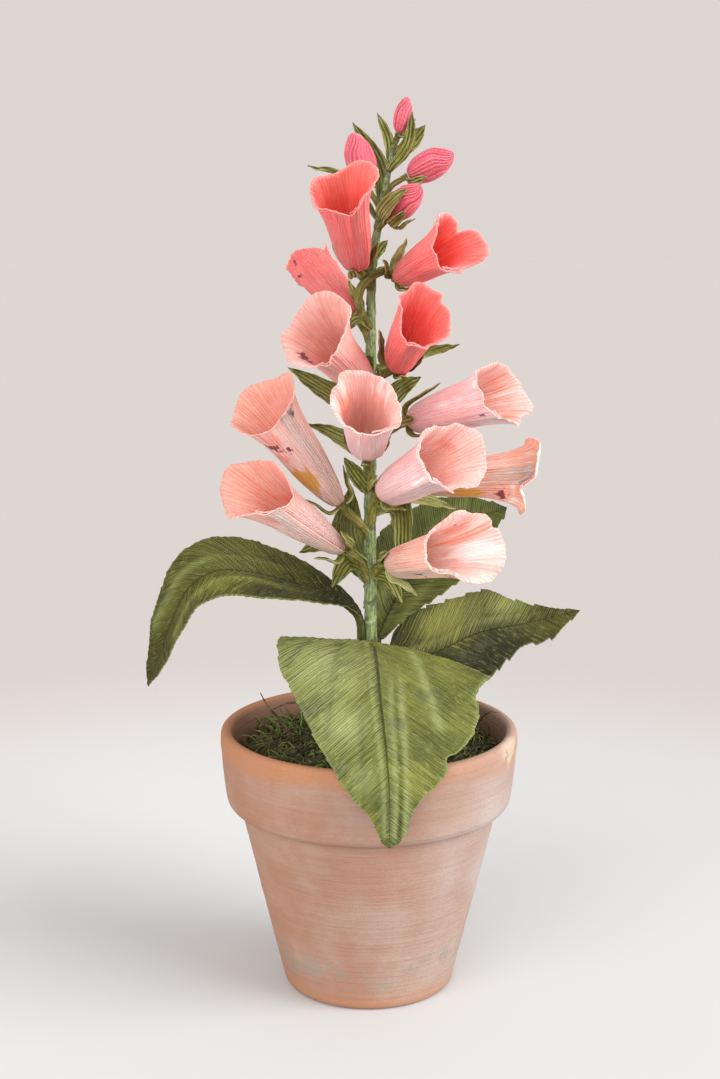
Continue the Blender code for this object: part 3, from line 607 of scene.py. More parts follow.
def make_moss():
    """The mat and its many loose strands, brighter curls and twigs."""
    # The mat's rows go outwards, and the last two down its edge and back under it.
    def place(across, along):
        turn = -math.tau * across
        if along > 0.999:
            return Vector((0, 0, FOAM_TOP + MOSS_LIFT))
        ring = min(along * MAT_RINGS / (MAT_RINGS - 2), 1.0)
        low = along * MAT_RINGS > MAT_RINGS - 1.5
        x, y = MOSS_RADIUS * ring * math.cos(turn), MOSS_RADIUS * ring * math.sin(turn)
        rough = 1.1 * hum(x * 0.35, y * 0.35) + 0.7 * hum(x * 0.9, y * 0.9, 5.0)
        shoulder = 1 - 0.25 * ease(ring, 0.93, 1.0)
        height = 0.0 if low else (moss_height(x, y) + rough * min(1.0, ring * 4)) * shoulder
        return Vector((x, y, FOAM_TOP + MOSS_LIFT + height))

    def measure(across, along):
        return across * MAT_GIRTH, along * MOSS_RADIUS

    bm = new_sheets()
    add_sheet(bm, MAT_SIDES, MAT_RINGS, place, measure)
    finished(bm, "moss_mat", "moss", "dried_moss", make_moss_fibre("dried_moss_dark", MAT_COLOURS))

    draw = random.Random(MOSS_SEED)

    def add_strand(bm, kind):
        angle = draw.uniform(0, math.tau)
        far = (MOSS_RADIUS - kind.inset) * math.sqrt(draw.uniform(0.02, 1.0))
        length = draw.uniform(kind.low, kind.high)
        heading = draw.uniform(0, math.tau)
        x, y = far * math.cos(angle), far * math.sin(angle)
        spot = Vector((x, y, FOAM_TOP + moss_height(x, y) - 0.8))
        points = [spot]
        step = length / 3
        climb = draw.uniform(0.3, 1.0) * kind.lift
        for _ in range(3):
            heading += draw.uniform(-0.9, 0.9)
            spot = spot + Vector((math.cos(heading), math.sin(heading), climb)) * step
            wide = math.hypot(spot.x, spot.y)
            if wide > MOSS_RADIUS:
                spot.x *= MOSS_RADIUS / wide
                spot.y *= MOSS_RADIUS / wide
            climb -= draw.uniform(0.2, 0.9) * kind.lift
            points.append(spot)
        radii = [(share, kind.thick * part) for share, part in STRAND_TAPER]
        add_rod(bm, points, radii, STRAND_SIDES, kind.rows)

    for kind in LOOSE_MOSS:
        bm = new_sheets()
        for _ in range(kind.count):
            add_strand(bm, kind)
        fibre = make_moss_fibre(kind.fibre, kind.colours)
        finished(bm, kind.name, "moss", "dried_moss", fibre)


# ---- The stem, the flower stalks, the sepals and the bracts ----
# Where the holes in the foam end, and the room between things that are set into one another
HOLE_BOTTOM = 30.0
GAP = 0.3
STEM_PATH = (
    (0.5, 0, HOLE_BOTTOM + GAP), (0.5, 0, 90), (0.6, 0, 130), (0.3, 0, 174),
    (0.6, 0, 218), (0.6, 0, 253), (1.3, 0, 268), (3.4, 0, 280.5),
    (5.5, 0, 292), (7.2, 0, 301), (8.6, 0, 306),
)
# (height, radius)
STEM_RADII = ((30.0, 2.3), (150.0, 2.3), (220.0, 1.9), (265.0, 1.6), (292.0, 1.2), (306.0, 0.9))
STEM_SIDES = 32
STEM_ROWS = 420
STEM_STEPS = 60
# How far the tape climbs with each turn round the stem, the flower stalks and the leaf stalks,
# and how high its edge stands
STEM_TAPE = (9.0, 0.34)
STALK_TAPE = (4.5, 0.2)
LEAF_TAPE = (6.0, 0.16)

# The outline of a bell and of a bud, from the closed end: (share of its length, share of its
# radius). A bell opens from FLARE_START on.
BELL_STATIONS = (
    (0, 0), (0, 0.3), (0.05, 0.58), (0.17, 0.82), (0.42, 0.97), (0.68, 1.08), (0.87, 1.22),
    (1, 1.38),
)
FLARE_START = 0.55
BUD_STATIONS = (
    (0, 0), (0, 0.3), (0.14, 0.74), (0.38, 1), (0.64, 0.94), (0.86, 0.6), (0.97, 0.28), (1, 0),
)
BUD_PLEAT = 0.07

# A bell's place is the middle of its closed end. Rolls go round its axis, from the top side
# towards the right hand of someone who looks along it from the stem. Its root is the height
# at which its stalk leaves the stem. A sepal is (roll, length, mm that its tip stands off).
Bell = namedtuple("Bell", "name base azimuth elevation length radius root sepals")
CORAL_BELLS = (
    Bell("bell_coral_top", (-4.5, -9, 265), -99, 42, 35, 6.8, 256,
         ((60, 10, 3), (180, 8, 2), (-70, 9, 2))),
    Bell("bell_coral_right", (10, -3, 261), -62, 18, 35, 5.6, 244,
         ((10, 13, 4), (70, 9, 5), (190, 8, 2), (-60, 8, 1))),
    Bell("bell_coral_left", (-5, 3.5, 247), 125, 31, 32, 6.3, 236,
         ((0, 10, 2), (120, 9, 1), (200, 9, 2))),
    Bell("bell_coral_middle", (9.5, -8.5, 231), -76, 32, 33, 6.7, 222,
         ((60, 16, 3), (-100, 9, 1), (180, 8, 2))),
)
PALE_BELLS = (
    Bell("bell_pale_upper_left", (-1, -8.5, 223.5), -115, 29, 38, 7, 208,
         ((170, 9, 2), (-60, 9, 1), (40, 10, 1))),
    Bell("bell_pale_front", (-1, -12.5, 201.5), -90, 31, 36, 7.5, 182,
         ((180, 9, 2), (80, 9, 1), (-80, 9, 1))),
    Bell("bell_pale_left", (-10.5, -6, 181.5), -160, 53, 43, 7.2, 166,
         ((180, 11, 3), (0, 10, 2), (90, 9, 1))),
    Bell("bell_pale_right", (14.5, -2, 210.5), -40, 17, 39, 7, 196,
         ((0, 17, 2), (180, 9, 2), (90, 8, 1))),
    Bell("bell_pale_low_left", (-9.5, -8, 165), -145, 35, 42, 6.5, 150,
         ((180, 9, 2), (-60, 9, 1), (60, 9, 1))),
    Bell("bell_pale_middle", (5, -10, 186), -54, 25, 38, 7.6, 170,
         ((180, 10, 2), (60, 9, 1), (-60, 9, 1))),
    Bell("bell_pale_far_right", (13, 7.5, 187), 9, 2, 45, 6.8, 172,
         ((0, 9, 1), (120, 9, 1), (240, 9, 1))),
    Bell("bell_pale_low_right", (7.5, -8, 160), -52, 16, 38, 6.8, 152,
         ((180, 12, 6), (60, 8, 1), (-70, 8, 1))),
)
Bud = namedtuple("Bud", "name base tip radius root sepals")
BUDS = (
    Bud("bud_top", (10, -0.5, 310), (13, -1, 322), 2.9, 305, ((160, 6, 1), (-90, 7, 1))),
    Bud("bud_right", (13.5, -0.5, 295.5), (29, -2, 303), 5, 286, ((120, 6, 1), (-120, 6, 1))),
    Bud("bud_front", (7, -3.5, 281.5), (17.5, -9, 292), 4.8, 275,
        ((76, 13, 0.3), (130, 8, 1), (180, 7, 1))),
    Bud("bud_left", (-0.5, 0.5, 292.5), (-6, 1, 310), 5, 283, ((60, 8, 1), (-100, 7, 1))),
)
BELLS = CORAL_BELLS + PALE_BELLS
BELL_STALK = 1.6
BUD_STALK = 1.0
# A flower stalk rises, leans out and enters its flower straight: shares of its length.
STALK_RISE = 0.3
STALK_LEAN = 0.15
STALK_ENTRY = 0.35
STALK_BENDS = 4
STALK_SIDES = 18
STALK_ROWS = 44
SEAT_DEPTH = 1.3
SEAT_SPREAD = 1.3
SEPAL_ROOT = 1.3
SEPAL_ROOM = 0.9
LONG_SEPAL = 7
SEPAL_WIDTH = 4.2
SHORT_SEPAL_WIDTH = 3.4
# The width and the paleness of the few sepals that aren't like the rest, by flower and roll
ODD_SEPALS = {("bud_front", 76): (6.8, 0.1), ("bell_coral_right", 10): (4.6, 0.9),
              ("bell_coral_middle", 60): (5.0, 0.3), ("bell_pale_low_right", 180): (4.8, 0.7)}
# The stalk of this bell arches past the front of the stem
BENT_STALKS = {
    "bell_coral_right": (
        (0.2, -0.4, 243), (-2.8, -2.4, 248.5), (-3.8, -3.8, 255), (-0.8, -4.6, 260.2),
        (3.1, -3.8, 262.6), (5.8, -2.6, 263), (8.1, -1.6, 262)),
}

# A bract runs through its points, is so wide, faces one way, and may be paler than the rest.
Bract = namedtuple("Bract", "points width faces pale", defaults=(0.0,))
BRACTS = (
    Bract(((7, 0, 299), (6.5, 1, 308), (2.5, 2, 317)), 3.4, (0, -1, 0)),
    Bract(((6.6, -1, 297), (13.2, -3, 306), (14.6, -4.4, 317)), 4.4, (0, -1, 0)),
    Bract(((7.4, 0, 301), (14.5, 5, 307), (19.5, 6, 313)), 5.5, (0, -1, 0)),
    Bract(((4.3, 0, 285.5), (3, 6.5, 299), (-6, 7.5, 314)), 7, (0.3, -1, 0)),
    Bract(((3.2, 0, 280), (-8.5, 5, 294.5), (-21.5, 2, 299)), 4.5, (0, -0.5, 1)),
    Bract(((1.3, 0, 266), (3.5, 5, 270), (6.5, 6, 273.5)), 4, (0, -1, 0.3)),
    Bract(((1, 0, 261), (-6, 2, 264.5), (-12, 2.5, 269)), 4.5, (0, -1, 0.5)),
    Bract(((0.8, 0, 228), (18, 4, 233), (32, 3, 237)), 6.5, (0, -0.7, 1)),
    Bract(((0.8, 0, 229), (-1, -5, 233.5), (-3.5, -8, 234)), 3.6, (0, -0.5, 1)),
    Bract(((0.6, 0, 242), (-3.5, -4, 246), (-7, -6.5, 244)), 4, (0, -1, 1)),
    Bract(((0.6, 0, 208.5), (10, 3.5, 220), (18.5, 4, 225.5)), 7, (0, -1, 0.3)),
    Bract(((0.6, 0, 211), (-12, 3, 218.5), (-29, 2, 229)), 9, (0.2, -1, 0.6)),
    Bract(((0.5, 0, 195), (-8, 0.5, 202.5), (-22, 1, 209)), 8.5, (0.2, -0.8, 1)),
    Bract(((0.4, 0, 184), (-4.5, -5, 191), (-9, -6.5, 198)), 6, (0.2, -1, 0.3)),
    Bract(((0.3, 0, 176), (15, -1, 182.5), (31, -1, 178.5)), 8, (0, -0.6, 1), 0.55),
    Bract(((0.3, 0, 178), (11, 4.5, 178.5), (12, 5.5, 153)), 9, (0, -1, 0)),
    Bract(((0.3, 0, 152), (-7.5, 4.5, 167), (-6.5, 6, 186)), 13, (0, -1, 0.1), 0.25),
    Bract(((0.4, 0, 157), (-13, 6, 165), (-25.5, 4, 161.5)), 8.5, (0, -0.8, 0.6)),
    Bract(((0.4, 0, 155.5), (-7.5, -3.5, 160), (-13.5, -5.5, 150.5)), 8, (0.2, -1, 0.1)),
    Bract(((0.4, 0, 154.5), (7.5, -3.5, 153), (12, -5, 144.5)), 5.5, (0, -1, 0.4)),
)
BRACT_FOLD = 14.0
# (share of its length, share of its width)
BLADE_OUTLINE = ((0.0, 0.35), (0.2, 0.75), (0.5, 1.0), (0.8, 0.6), (1.0, 0.0))
BLADE_COLUMNS = 18
SEPAL_ROWS = 22
BRACT_ROWS = 34
FIRST_BRACT_SEED = 60
# The ribs of a sepal or bract, and the waves and sway of its face
RIB_WAVES = 4.6
RIB_HEIGHT = 0.24
FACE_WAVES = 0.22
BLADE_SWAY = 0.5
PAPER = 0.45


def bell_axes(azimuth, elevation):
    """A bell's axis, its top side and its right hand side."""
    turn, lift = math.radians(azimuth), math.radians(elevation)
    axis = Vector((math.cos(lift) * math.cos(turn), math.cos(lift) * math.sin(turn),
                   math.sin(lift)))
    top = (Vector((0, 0, 1)) - axis * axis.z).normalized()
    return axis, top, axis.cross(top)


def out_from(axes, roll):
    """The direction square to the axis at that roll."""
    _, top, side = axes
    turn = math.radians(roll)
    return top * math.cos(turn) + side * math.sin(turn)


def bud_angles(bud):
    """The azimuth and elevation of a bud's axis."""
    along = Vector(bud.tip) - Vector(bud.base)
    return (math.degrees(math.atan2(along.y, along.x)),
            math.degrees(math.asin(along.z / along.length)))


def flower_parts():
    """Name, closed end, axes, outline, root height, stalk and sepals of every flower."""
    for bell in BELLS:
        outline = [(s * bell.length, w * bell.radius) for s, w in BELL_STATIONS[1:]]
        yield (bell.name, Vector(bell.base), bell_axes(bell.azimuth, bell.elevation), outline,
               bell.root, BELL_STALK, bell.sepals)
    for bud in BUDS:
        length = (Vector(bud.tip) - Vector(bud.base)).length
        outline = [(s * length, w * bud.radius * (1 + BUD_PLEAT)) for s, w in BUD_STATIONS[1:]]
        yield (bud.name, Vector(bud.base), bell_axes(*bud_angles(bud)), outline, bud.root,
               BUD_STALK, bud.sepals)


def stem_spot(height):
    """The middle of the stem at a height."""
    for a, b in zip(STEM_PATH, STEM_PATH[1:]):
        if height <= b[2]:
            return Vector(a).lerp(Vector(b), (height - a[2]) / (b[2] - a[2]))
    return Vector(STEM_PATH[-1])


def wound(pitch, step):
    """The raised edge of tape that is wound round a rod."""
    def ridge(turn, run):
        saw = (run / pitch - turn + 0.08 * hum(run * 0.15, 2.0)) % 1.0
        return step * (0.5 - saw) + 0.10 * hum(turn * 9.0, run * 0.10, pitch)
    return ridge


def add_blade(bm, points, width, faces, rows, seed, pale):
    """Add a narrow leaflet along the points: cupped, ribbed and with an uneven edge."""
    fold = math.radians(BRACT_FOLD)
    total = path_length(points)
    frames = []
    for k in range(rows + 1):
        spot = k / rows * (len(points) - 1)
        forward = curve_heading(points, spot)
        hand = Vector(faces).cross(forward).normalized()
        frames.append((curve_point(points, spot), hand, forward.cross(hand)))

    def place(across, along):
        middle, hand, face = frames[round(along * rows)]
        half = width / 2 * max(rounded(BLADE_OUTLINE, along), 0.0)
        half *= 1 + 0.10 * hum(along * total / 2.2, seed * 3.7, across * 0.5)
        side = 1 - 2 * across
        rib = (RIB_HEIGHT * math.cos(side * half * RIB_WAVES)
               + FACE_WAVES * hum(side * half * 0.9, along * 2.5, seed))
        sway = BLADE_SWAY * math.sin(along * 9.0 + seed * 2.1) * side * side * width / 9.0
        lift = abs(side) * half * math.sin(fold) + (rib + sway) * min(1.0, half)
        return middle + hand * side * half * math.cos(fold) + face * lift

    def measure(across, along):
        return (1 - 2 * across) * width / 2 + seed * 17.0, along * total

    # Painted highlights on the ribs and paler edges, over the real paleness of a pale blade, and
    # painted shade in the furrows between the ribs, darker towards the root.
    def marks(across, along):
        side = 1 - 2 * across
        half = width / 2 * max(rounded(BLADE_OUTLINE, along), 0.0)
        rib = math.cos(side * half * RIB_WAVES)
        patch = 0.5 + hum(along * total / 5, seed * 2.3, across * 2)
        edge = ease(abs(side), 0.80, 1.0)
        return {"white": min(1.0, pale + max(0.0, max(rib, edge) * 0.8 * patch)),
                "rosy": max(0.8 * max(0.0, -rib), 0.5 * (1 - ease(along, 0.0, 0.3)))}

    add_sheet(bm, BLADE_COLUMNS, rows, place, measure, marks)


def make_stem():
    """The taped stem, the stalk of every flower, and the blades on them."""
    bm = new_sheets()
    radii = []
    for k in range(STEM_STEPS + 1):
        spot = curve_point(STEM_PATH, place_at(STEM_PATH, k / STEM_STEPS))
        radii.append((k / STEM_STEPS, between(STEM_RADII, spot.z)))
    add_rod(bm, STEM_PATH, radii, STEM_SIDES, STEM_ROWS, wound(*STEM_TAPE))
    finished(bm, "stem_taped", "stem", "green_crepe", make_green_paper("green_crepe_tape"))

    stalks = new_sheets()
    blades = new_sheets()
    seed = 0
    for name, base, axes, outline, root, thick, sepals in flower_parts():
        start = stem_spot(root)
        seat = base - axes[0] * GAP
        neck = seat - axes[0] * SEAT_DEPTH
        run = (neck - start).length
        first = start + Vector((0, 0, STALK_RISE * run)) + (neck - start) * STALK_LEAN
        last = neck - axes[0] * STALK_ENTRY * run
        points = []
        for k in range(STALK_BENDS + 1):
            t = k / STALK_BENDS
            points.append(start * (1 - t) ** 3 + first * 3 * t * (1 - t) ** 2
                          + last * 3 * t * t * (1 - t) + neck * t ** 3)
        if name in BENT_STALKS:
            points = [*BENT_STALKS[name], neck]
        points.append(seat)
        radii = ((0, thick), (0.9, thick), (1.0, thick * SEAT_SPREAD))
        add_rod(stalks, points, radii, STALK_SIDES, STALK_ROWS, wound(*STALK_TAPE))
        # A sepal starts behind the closed end, goes round its shoulder and along the flower.
        for roll, length, off in sepals:
            out = out_from(axes, roll)
            foot, shoulder = outline[1]
            middle, end = between(outline, length * 0.5), between(outline, length)
            spots = (
                base - axes[0] * SEPAL_ROOT + out * 0.3,
                base + axes[0] * (foot * 0.3 - 0.6) + out * (shoulder + SEPAL_ROOM),
                base + axes[0] * length * 0.5 + out * (middle + SEPAL_ROOM + off * 0.3),
                base + axes[0] * length + out * (end + SEPAL_ROOM + off),
            )
            plain = SEPAL_WIDTH if length > LONG_SEPAL else SHORT_SEPAL_WIDTH
            width, pale = ODD_SEPALS.get((name, roll), (plain, 0.0))
            seed += 1
            add_blade(blades, spots, width, out - axes[0], SEPAL_ROWS, seed, pale)
    finished(stalks, "flower_stalks", "stem", "green_crepe", make_green_paper("olive_crepe_tape"))
    piece = finished(blades, "sepals", "stem", "green_crepe", make_green_paper("sepal_crepe"))
    thicken(piece, PAPER)

    bm = new_sheets()
    for k, bract in enumerate(BRACTS):
        add_blade(bm, bract.points, bract.width, bract.faces, BRACT_ROWS, FIRST_BRACT_SEED + k,
                  bract.pale)
    piece = finished(bm, "bracts", "stem", "green_crepe", make_green_paper("bract_crepe"))
    thicken(piece, PAPER)


# ---- The big leaves ----
# stalk and midrib are spots on a leaf's middle line, the first one of the stalk without its
# height. left and right are (share of the midrib, mm from it to the edge) on either hand.
# hand_start and hand_end point to the left hand at both ends of the blade, and fold is how many
# degrees each half is raised.
Leaf = namedtuple("Leaf", "name stalk midrib left right hand_start hand_end fold")
LEAVES = (
    Leaf("leaf_left",
         ((-5.6, 0), (-5.2, 0, 92), (-3.6, 0, 116), (-2.8, -1.2, 131)),
         ((-3.3, -1.9, 140), (-10, -3, 146), (-25, -6, 151.5), (-42.5, -10, 157),
          (-54.5, -13, 158), (-63.5, -15, 152.5), (-69.5, -17, 141.5), (-73.5, -19, 131),
          (-78.5, -20, 118)),
         ((0, 1.5), (0.08, 5), (0.25, 13), (0.42, 18.5), (0.58, 19), (0.72, 14.5), (0.86, 8.5),
          (0.95, 4), (1, 0)),
         ((0, 1.5), (0.08, 4.5), (0.25, 13), (0.42, 16.5), (0.58, 16), (0.72, 12.5), (0.86, 8),
          (0.95, 4), (1, 0)),
         (0, -0.9, -0.44), (0.45, -0.8, -0.35), 10),
    Leaf("leaf_front",
         ((0.5, -6.1), (0.5, -6.1, 92), (0.8, -5.6, 116), (0.9, -5.6, 127)),
         ((1, -9, 131.5), (2, -24, 127.5), (3.5, -40, 115.5), (5.5, -54.5, 101.5),
          (6.5, -61.5, 88), (6.5, -64.5, 74.5)),
         ((0, 15), (0.02, 21), (0.05, 32), (0.11, 38.5), (0.18, 42), (0.25, 39.2), (0.325, 35.4),
          (0.415, 35.6), (0.51, 33), (0.58, 29), (0.62, 25.6), (0.64, 21.4), (0.7, 20.8),
          (0.76, 16.8), (0.8, 12), (0.86, 8), (0.92, 6.2), (0.98, 3.4), (1, 0)),
         ((0, 32.5), (0.06, 34.2), (0.16, 34), (0.24, 33), (0.3, 30.4), (0.37, 28.4), (0.43, 26.4),
          (0.54, 23), (0.66, 18.8), (0.73, 15.8), (0.8, 12.2), (0.86, 7.8), (0.93, 4.4),
          (0.98, 2.6), (1, 0)),
         (0.98, 0, -0.17), (0.98, 0, -0.17), -4),
    Leaf("leaf_right",
         ((6.3, -2.4), (6.3, -2.4, 92), (6, -1.5, 106), (6.4, -0.8, 113)),
         ((8, -0.3, 118), (16, 0, 121), (26, 0.5, 125), (40.5, 2, 131.5), (59, 6, 134.5),
          (78, 10, 138.5)),
         ((0, 5), (0.07, 18), (0.17, 24), (0.32, 25), (0.46, 21.5), (0.6, 19.5), (0.69, 14.5),
          (0.8, 9), (0.9, 4), (1, 0)),
         ((0, 3), (0.07, 12), (0.17, 18), (0.32, 20), (0.46, 18), (0.58, 13), (0.66, 9),
          (0.8, 8.5), (0.9, 5), (1, 0)),
         (0, 0.79, 0.62), (0, 0.79, 0.62), -5),
    Leaf("leaf_back",
         ((4.2, 4.9), (4.2, 4.9, 92), (3.4, 5, 112), (3, 5.4, 122)),
         ((3.2, 7, 129), (10, 18, 140.5), (22, 34, 152.5), (37.5, 50, 163.5), (55, 62.5, 168)),
         ((0, 2), (0.1, 9), (0.3, 18), (0.5, 20), (0.7, 16), (0.85, 9.5), (0.95, 4), (1, 0)),
         ((0, 2), (0.1, 6), (0.3, 12), (0.5, 16), (0.7, 15), (0.85, 9.5), (0.95, 4), (1, 0)),
         (-0.75, 0.3, 0.5), (-0.75, 0.3, 0.5), 8),
)
LEAF_PAPERS = (
    ("leaf_front", "olive_crepe_leaf"),
    ("others", "dark_olive_crepe_leaf"),
    # The leaf at the back gets a darker paper, as painted shade.
    ("leaf_back", "olive_crepe_leaf_painted_shade"),
)
LEAF_COLUMNS = 72
LEAF_ROWS = 120
STALK_RADIUS = 1.6
RIB_REACH = 0.6
RIB_STEPS = 7
RIB_TAPER = 0.7
TOOTH_PITCH = 7.5
TOOTH_DEPTHS = {"leaf_left": 0.25, "leaf_front": 0.3, "leaf_right": 0.8, "leaf_back": 0.5}
TOOTH_ROOM = 6.0
GRAIN_ANGLE = 50.0
# The two halves of a leaf are cut from different places of the sheet.
HALF_SHIFT = 140.0
# Crinkles 2 mm apart and broad swells in the mesh of a leaf, and how high they are
CRINKLE_RATE = 3.1
CRINKLE_HEIGHT = 0.16
SWELL_HEIGHT = 1.1
LEAF_STALK_SIDES = 16
LEAF_STALK_ROWS = 150

# Folds that run through the paper of each leaf: (mm from the midrib, share of its length) at
# both ends, the height and the width. A mm to the left hand is positive.
FOLDS = {
    "leaf_front": (
        ((5.4, 0.14), (1.8, 0.95), 0.6, 1.5), ((6.9, 0.16), (3.3, 0.95), -0.6, 1.1),
        ((8.6, 0.14), (4.8, 0.95), 0.7, 1.6), ((-11, 0.03), (-17, 0.27), -0.7, 1.2),
        ((-13, 0.11), (-19.5, 0.54), -0.5, 1.2), ((-23, 0.03), (-31, 0.2), -0.6, 1.2),
        ((-6.6, 0.32), (-9, 0.9), -0.5, 1.4), ((14, 0.05), (20, 0.5), 0.6, 1.8),
        ((-2.5, 0.02), (-1.8, 0.95), 0.5, 1)),
    "leaf_left": (((5, 0.2), (8, 0.8), 0.6, 2), ((-6, 0.2), (-7, 0.8), 0.6, 2)),
    "leaf_right": (((6, 0.1), (5, 0.7), 0.6, 2.2), ((-8, 0.1), (-5, 0.7), -0.6, 2.2)),
    "leaf_back": (((6, 0.1), (7, 0.8), 0.6, 2.2), ((-6, 0.1), (-6, 0.8), 0.6, 2.2)),
}
# A fold that starts further from the stalk than this grows in over a part of its length.
FOLD_INSIDE = 0.1
FOLD_GROWTH = 0.35

# Touches on the leaves: (mark, mm from the midrib, share of its length, spread in mm, strength).
# The plum and yellow ones are uneven dye; the rosy ones are painted shade, on the parts of a blade
# that face away from the light, and the white ones painted highlights, where the waxed paper
# shines.
LEAF_TOUCHES = {
    "leaf_front": (
        ("plum", 16, 0.35, 5, 1.1), ("plum", -24, 0.42, 6, 1.1), ("plum", -17, 0.66, 5, 1.1),
        ("plum", 5, 0.5, 3, 0.9), ("plum", 4, 0.72, 3, 0.9), ("yellow", 10, 0.72, 10, 0.9),
        ("yellow", -8, 0.9, 8, 0.9), ("yellow", 26, 0.12, 8, 0.8), ("plum", -10, 0.22, 5, 0.7),
        ("white", -18, 0.2, 15, 0.62), ("white", -13, 0.48, 9, 0.55), ("white", -8, 0.72, 5, 0.4),
        ("rosy", 0, 0.9, 16, 0.75), ("rosy", 12, 0.62, 10, 0.45), ("rosy", 26, 0.36, 8, 0.4)),
    "leaf_left": (
        ("rosy", 4, 0.1, 16, 1.1), ("rosy", 12, 0.34, 11, 0.8), ("rosy", -3, 0.95, 14, 0.5),
        ("white", -8, 0.45, 12, 0.3), ("plum", 6, 0.3, 6, 0.9), ("yellow", 10, 0.55, 12, 0.9),
        ("plum", -6, 0.7, 5, 0.8)),
    "leaf_right": (
        ("yellow", 14, 0.35, 14, 1), ("plum", -8, 0.4, 8, 0.9), ("rosy", -12, 0.2, 22, 1.3),
        ("rosy", -11, 0.5, 22, 1.3), ("rosy", 1, 0.4, 5, 0.8), ("rosy", 6, 0.06, 12, 0.8),
        ("white", 16, 0.38, 12, 0.9), ("white", 12, 0.66, 9, 0.7)),
}


def leaf_frame(leaf, along):
    """The midrib's place there, the direction of the left hand and the way the blade faces."""
    spot = place_at(leaf.midrib, along)
    forward = curve_heading(leaf.midrib, spot)
    hand = Vector(leaf.hand_start).lerp(Vector(leaf.hand_end), along)
    hand = (hand - forward * hand.dot(forward)).normalized()
    return curve_point(leaf.midrib, spot), hand, forward.cross(hand)


def fold_height(folds, side, run, total):
    """How far the folds raise the leaf at that many mm from the midrib and along it."""
    height = 0.0
    for (side_a, share_a), (side_b, share_b), high, wide in folds:
        a, b = Vector((side_a, share_a * total)), Vector((side_b, share_b * total))
        way = b - a
        t = min(max((Vector((side, run)) - a).dot(way) / way.length_squared, 0.0), 1.0)
        grown = ease(t, 0.0, FOLD_GROWTH) if share_a > FOLD_INSIDE else 1.0
        height += grown * high * bump((Vector((side, run)) - a - way * t).length, wide)
    return height


def make_leaf(leaf, paper, seed):
    """A big leaf: a crinkled, folded blade with a toothed edge, on its wired stalk."""
    total = path_length(leaf.midrib)
    frames = [leaf_frame(leaf, k / LEAF_ROWS) for k in range(LEAF_ROWS + 1)]
    fold = math.radians(leaf.fold)
    slant = math.radians(GRAIN_ANGLE)
    halves = {}
    for k in range(LEAF_ROWS + 1):
        along = k / LEAF_ROWS
        run = along * total
        beat = run / TOOTH_PITCH + 0.9 * hum(run * 0.06, seed * 2.0)
        tooth = TOOTH_DEPTHS[leaf.name] * (1 - 2 * (beat % 1.0))
        for sign, table in ((1, leaf.left), (-1, leaf.right)):
            half = max(rounded(table, along), 0.0)
            nibble = 0.35 * hum(run * 0.9, seed * 5.0, sign)
            halves[sign, k] = half, (tooth + nibble) * min(1.0, half / TOOTH_ROOM)

    def side_mm(across, along):
        sign = 1 if across < 0.5 else -1
        half, tooth = halves[sign, round(along * LEAF_ROWS)]
        share = 1 - 2 * across
        return share * (half + tooth * abs(share) ** 3)

    def place(across, along):
        middle, hand, face = frames[round(along * LEAF_ROWS)]
        side = side_mm(across, along)
        run = along * total
        grain = run * math.sin(slant) - abs(side) * math.cos(slant)
        lift = abs(side) * math.sin(fold)
        lift += fold_height(FOLDS[leaf.name], side, run, total)
        lift += 0.5 * bump(side, 1.0) * (1 - along)
        crinkle = math.sin(grain * CRINKLE_RATE + 2.0 * hum(grain * 0.3, side * 0.12, seed))
        lift += CRINKLE_HEIGHT * crinkle
        lift += SWELL_HEIGHT * hum(side * 0.07, run * 0.06, seed) * min(1.0, abs(side) / 8.0)
        return middle + hand * side * math.cos(fold) + face * lift

    def measure(across, along):
        side = side_mm(across, along)
        run = along * total
        shift = HALF_SHIFT if side > 0 else 0.0
        return (run * math.sin(slant) - abs(side) * math.cos(slant) + shift,
                run * math.cos(slant) + abs(side) * math.sin(slant) + shift)

    # Painted highlights on the ridges of the folds and painted shade in their hollows, paler along
    # the edge and darker along the midrib, and then the touches.
    def marks(across, along):
        side = side_mm(across, along)
        height = fold_height(FOLDS[leaf.name], side, along * total, total)
        edge = ease(abs(1 - 2 * across), 0.95, 1.0)
        found = {"rosy": max(bump(side, 0.6) * (1 - 0.5 * along), min(1.0, -1.3 * height)),
                 "white": max(edge * 0.5, min(1.0, 0.75 * height))}
        for mark, side_at, share, spread, strength in LEAF_TOUCHES.get(leaf.name, ()):
            far = math.hypot(side - side_at, (along - share) * total)
            found[mark] = max(found.get(mark, 0.0), strength * bump(far, spread))
        return found

    bm = new_sheets()
    add_sheet(bm, LEAF_COLUMNS, LEAF_ROWS, place, measure, marks)
    thicken(finished(bm, leaf.name + "_blade", leaf.name, "olive_crepe", paper), PAPER)

    x, y = leaf.stalk[0]
    path = [(x, y, HOLE_BOTTOM + GAP), *leaf.stalk[1:]]
    radii = [STALK_RADIUS] * len(path)
    for k in range(RIB_STEPS + 1):
        middle, _, face = leaf_frame(leaf, RIB_REACH * k / RIB_STEPS)
        radius = STALK_RADIUS * (1.0 - RIB_TAPER * k / RIB_STEPS)
        path.append(middle - face * radius * 0.7)
        radii.append(radius)
    whole = path_length(path)
    table, run = [], 0.0
    for k, radius in enumerate(radii):
        table.append((run / whole, radius))
        if k + 1 < len(path):
            run += (Vector(path[k + 1]) - Vector(path[k])).length
    bm = new_sheets()
    add_rod(bm, path, table, LEAF_STALK_SIDES, LEAF_STALK_ROWS, wound(*LEAF_TAPE))
    finished(bm, leaf.name + "_stalk", leaf.name, "olive_crepe", paper)


# ---- The bells ----
BELL_COLUMNS = 128
BELL_ROWS = 64
BELL_STRETCH = 5.0
OVERLAP = 40.0
BELL_PAPER = 0.32
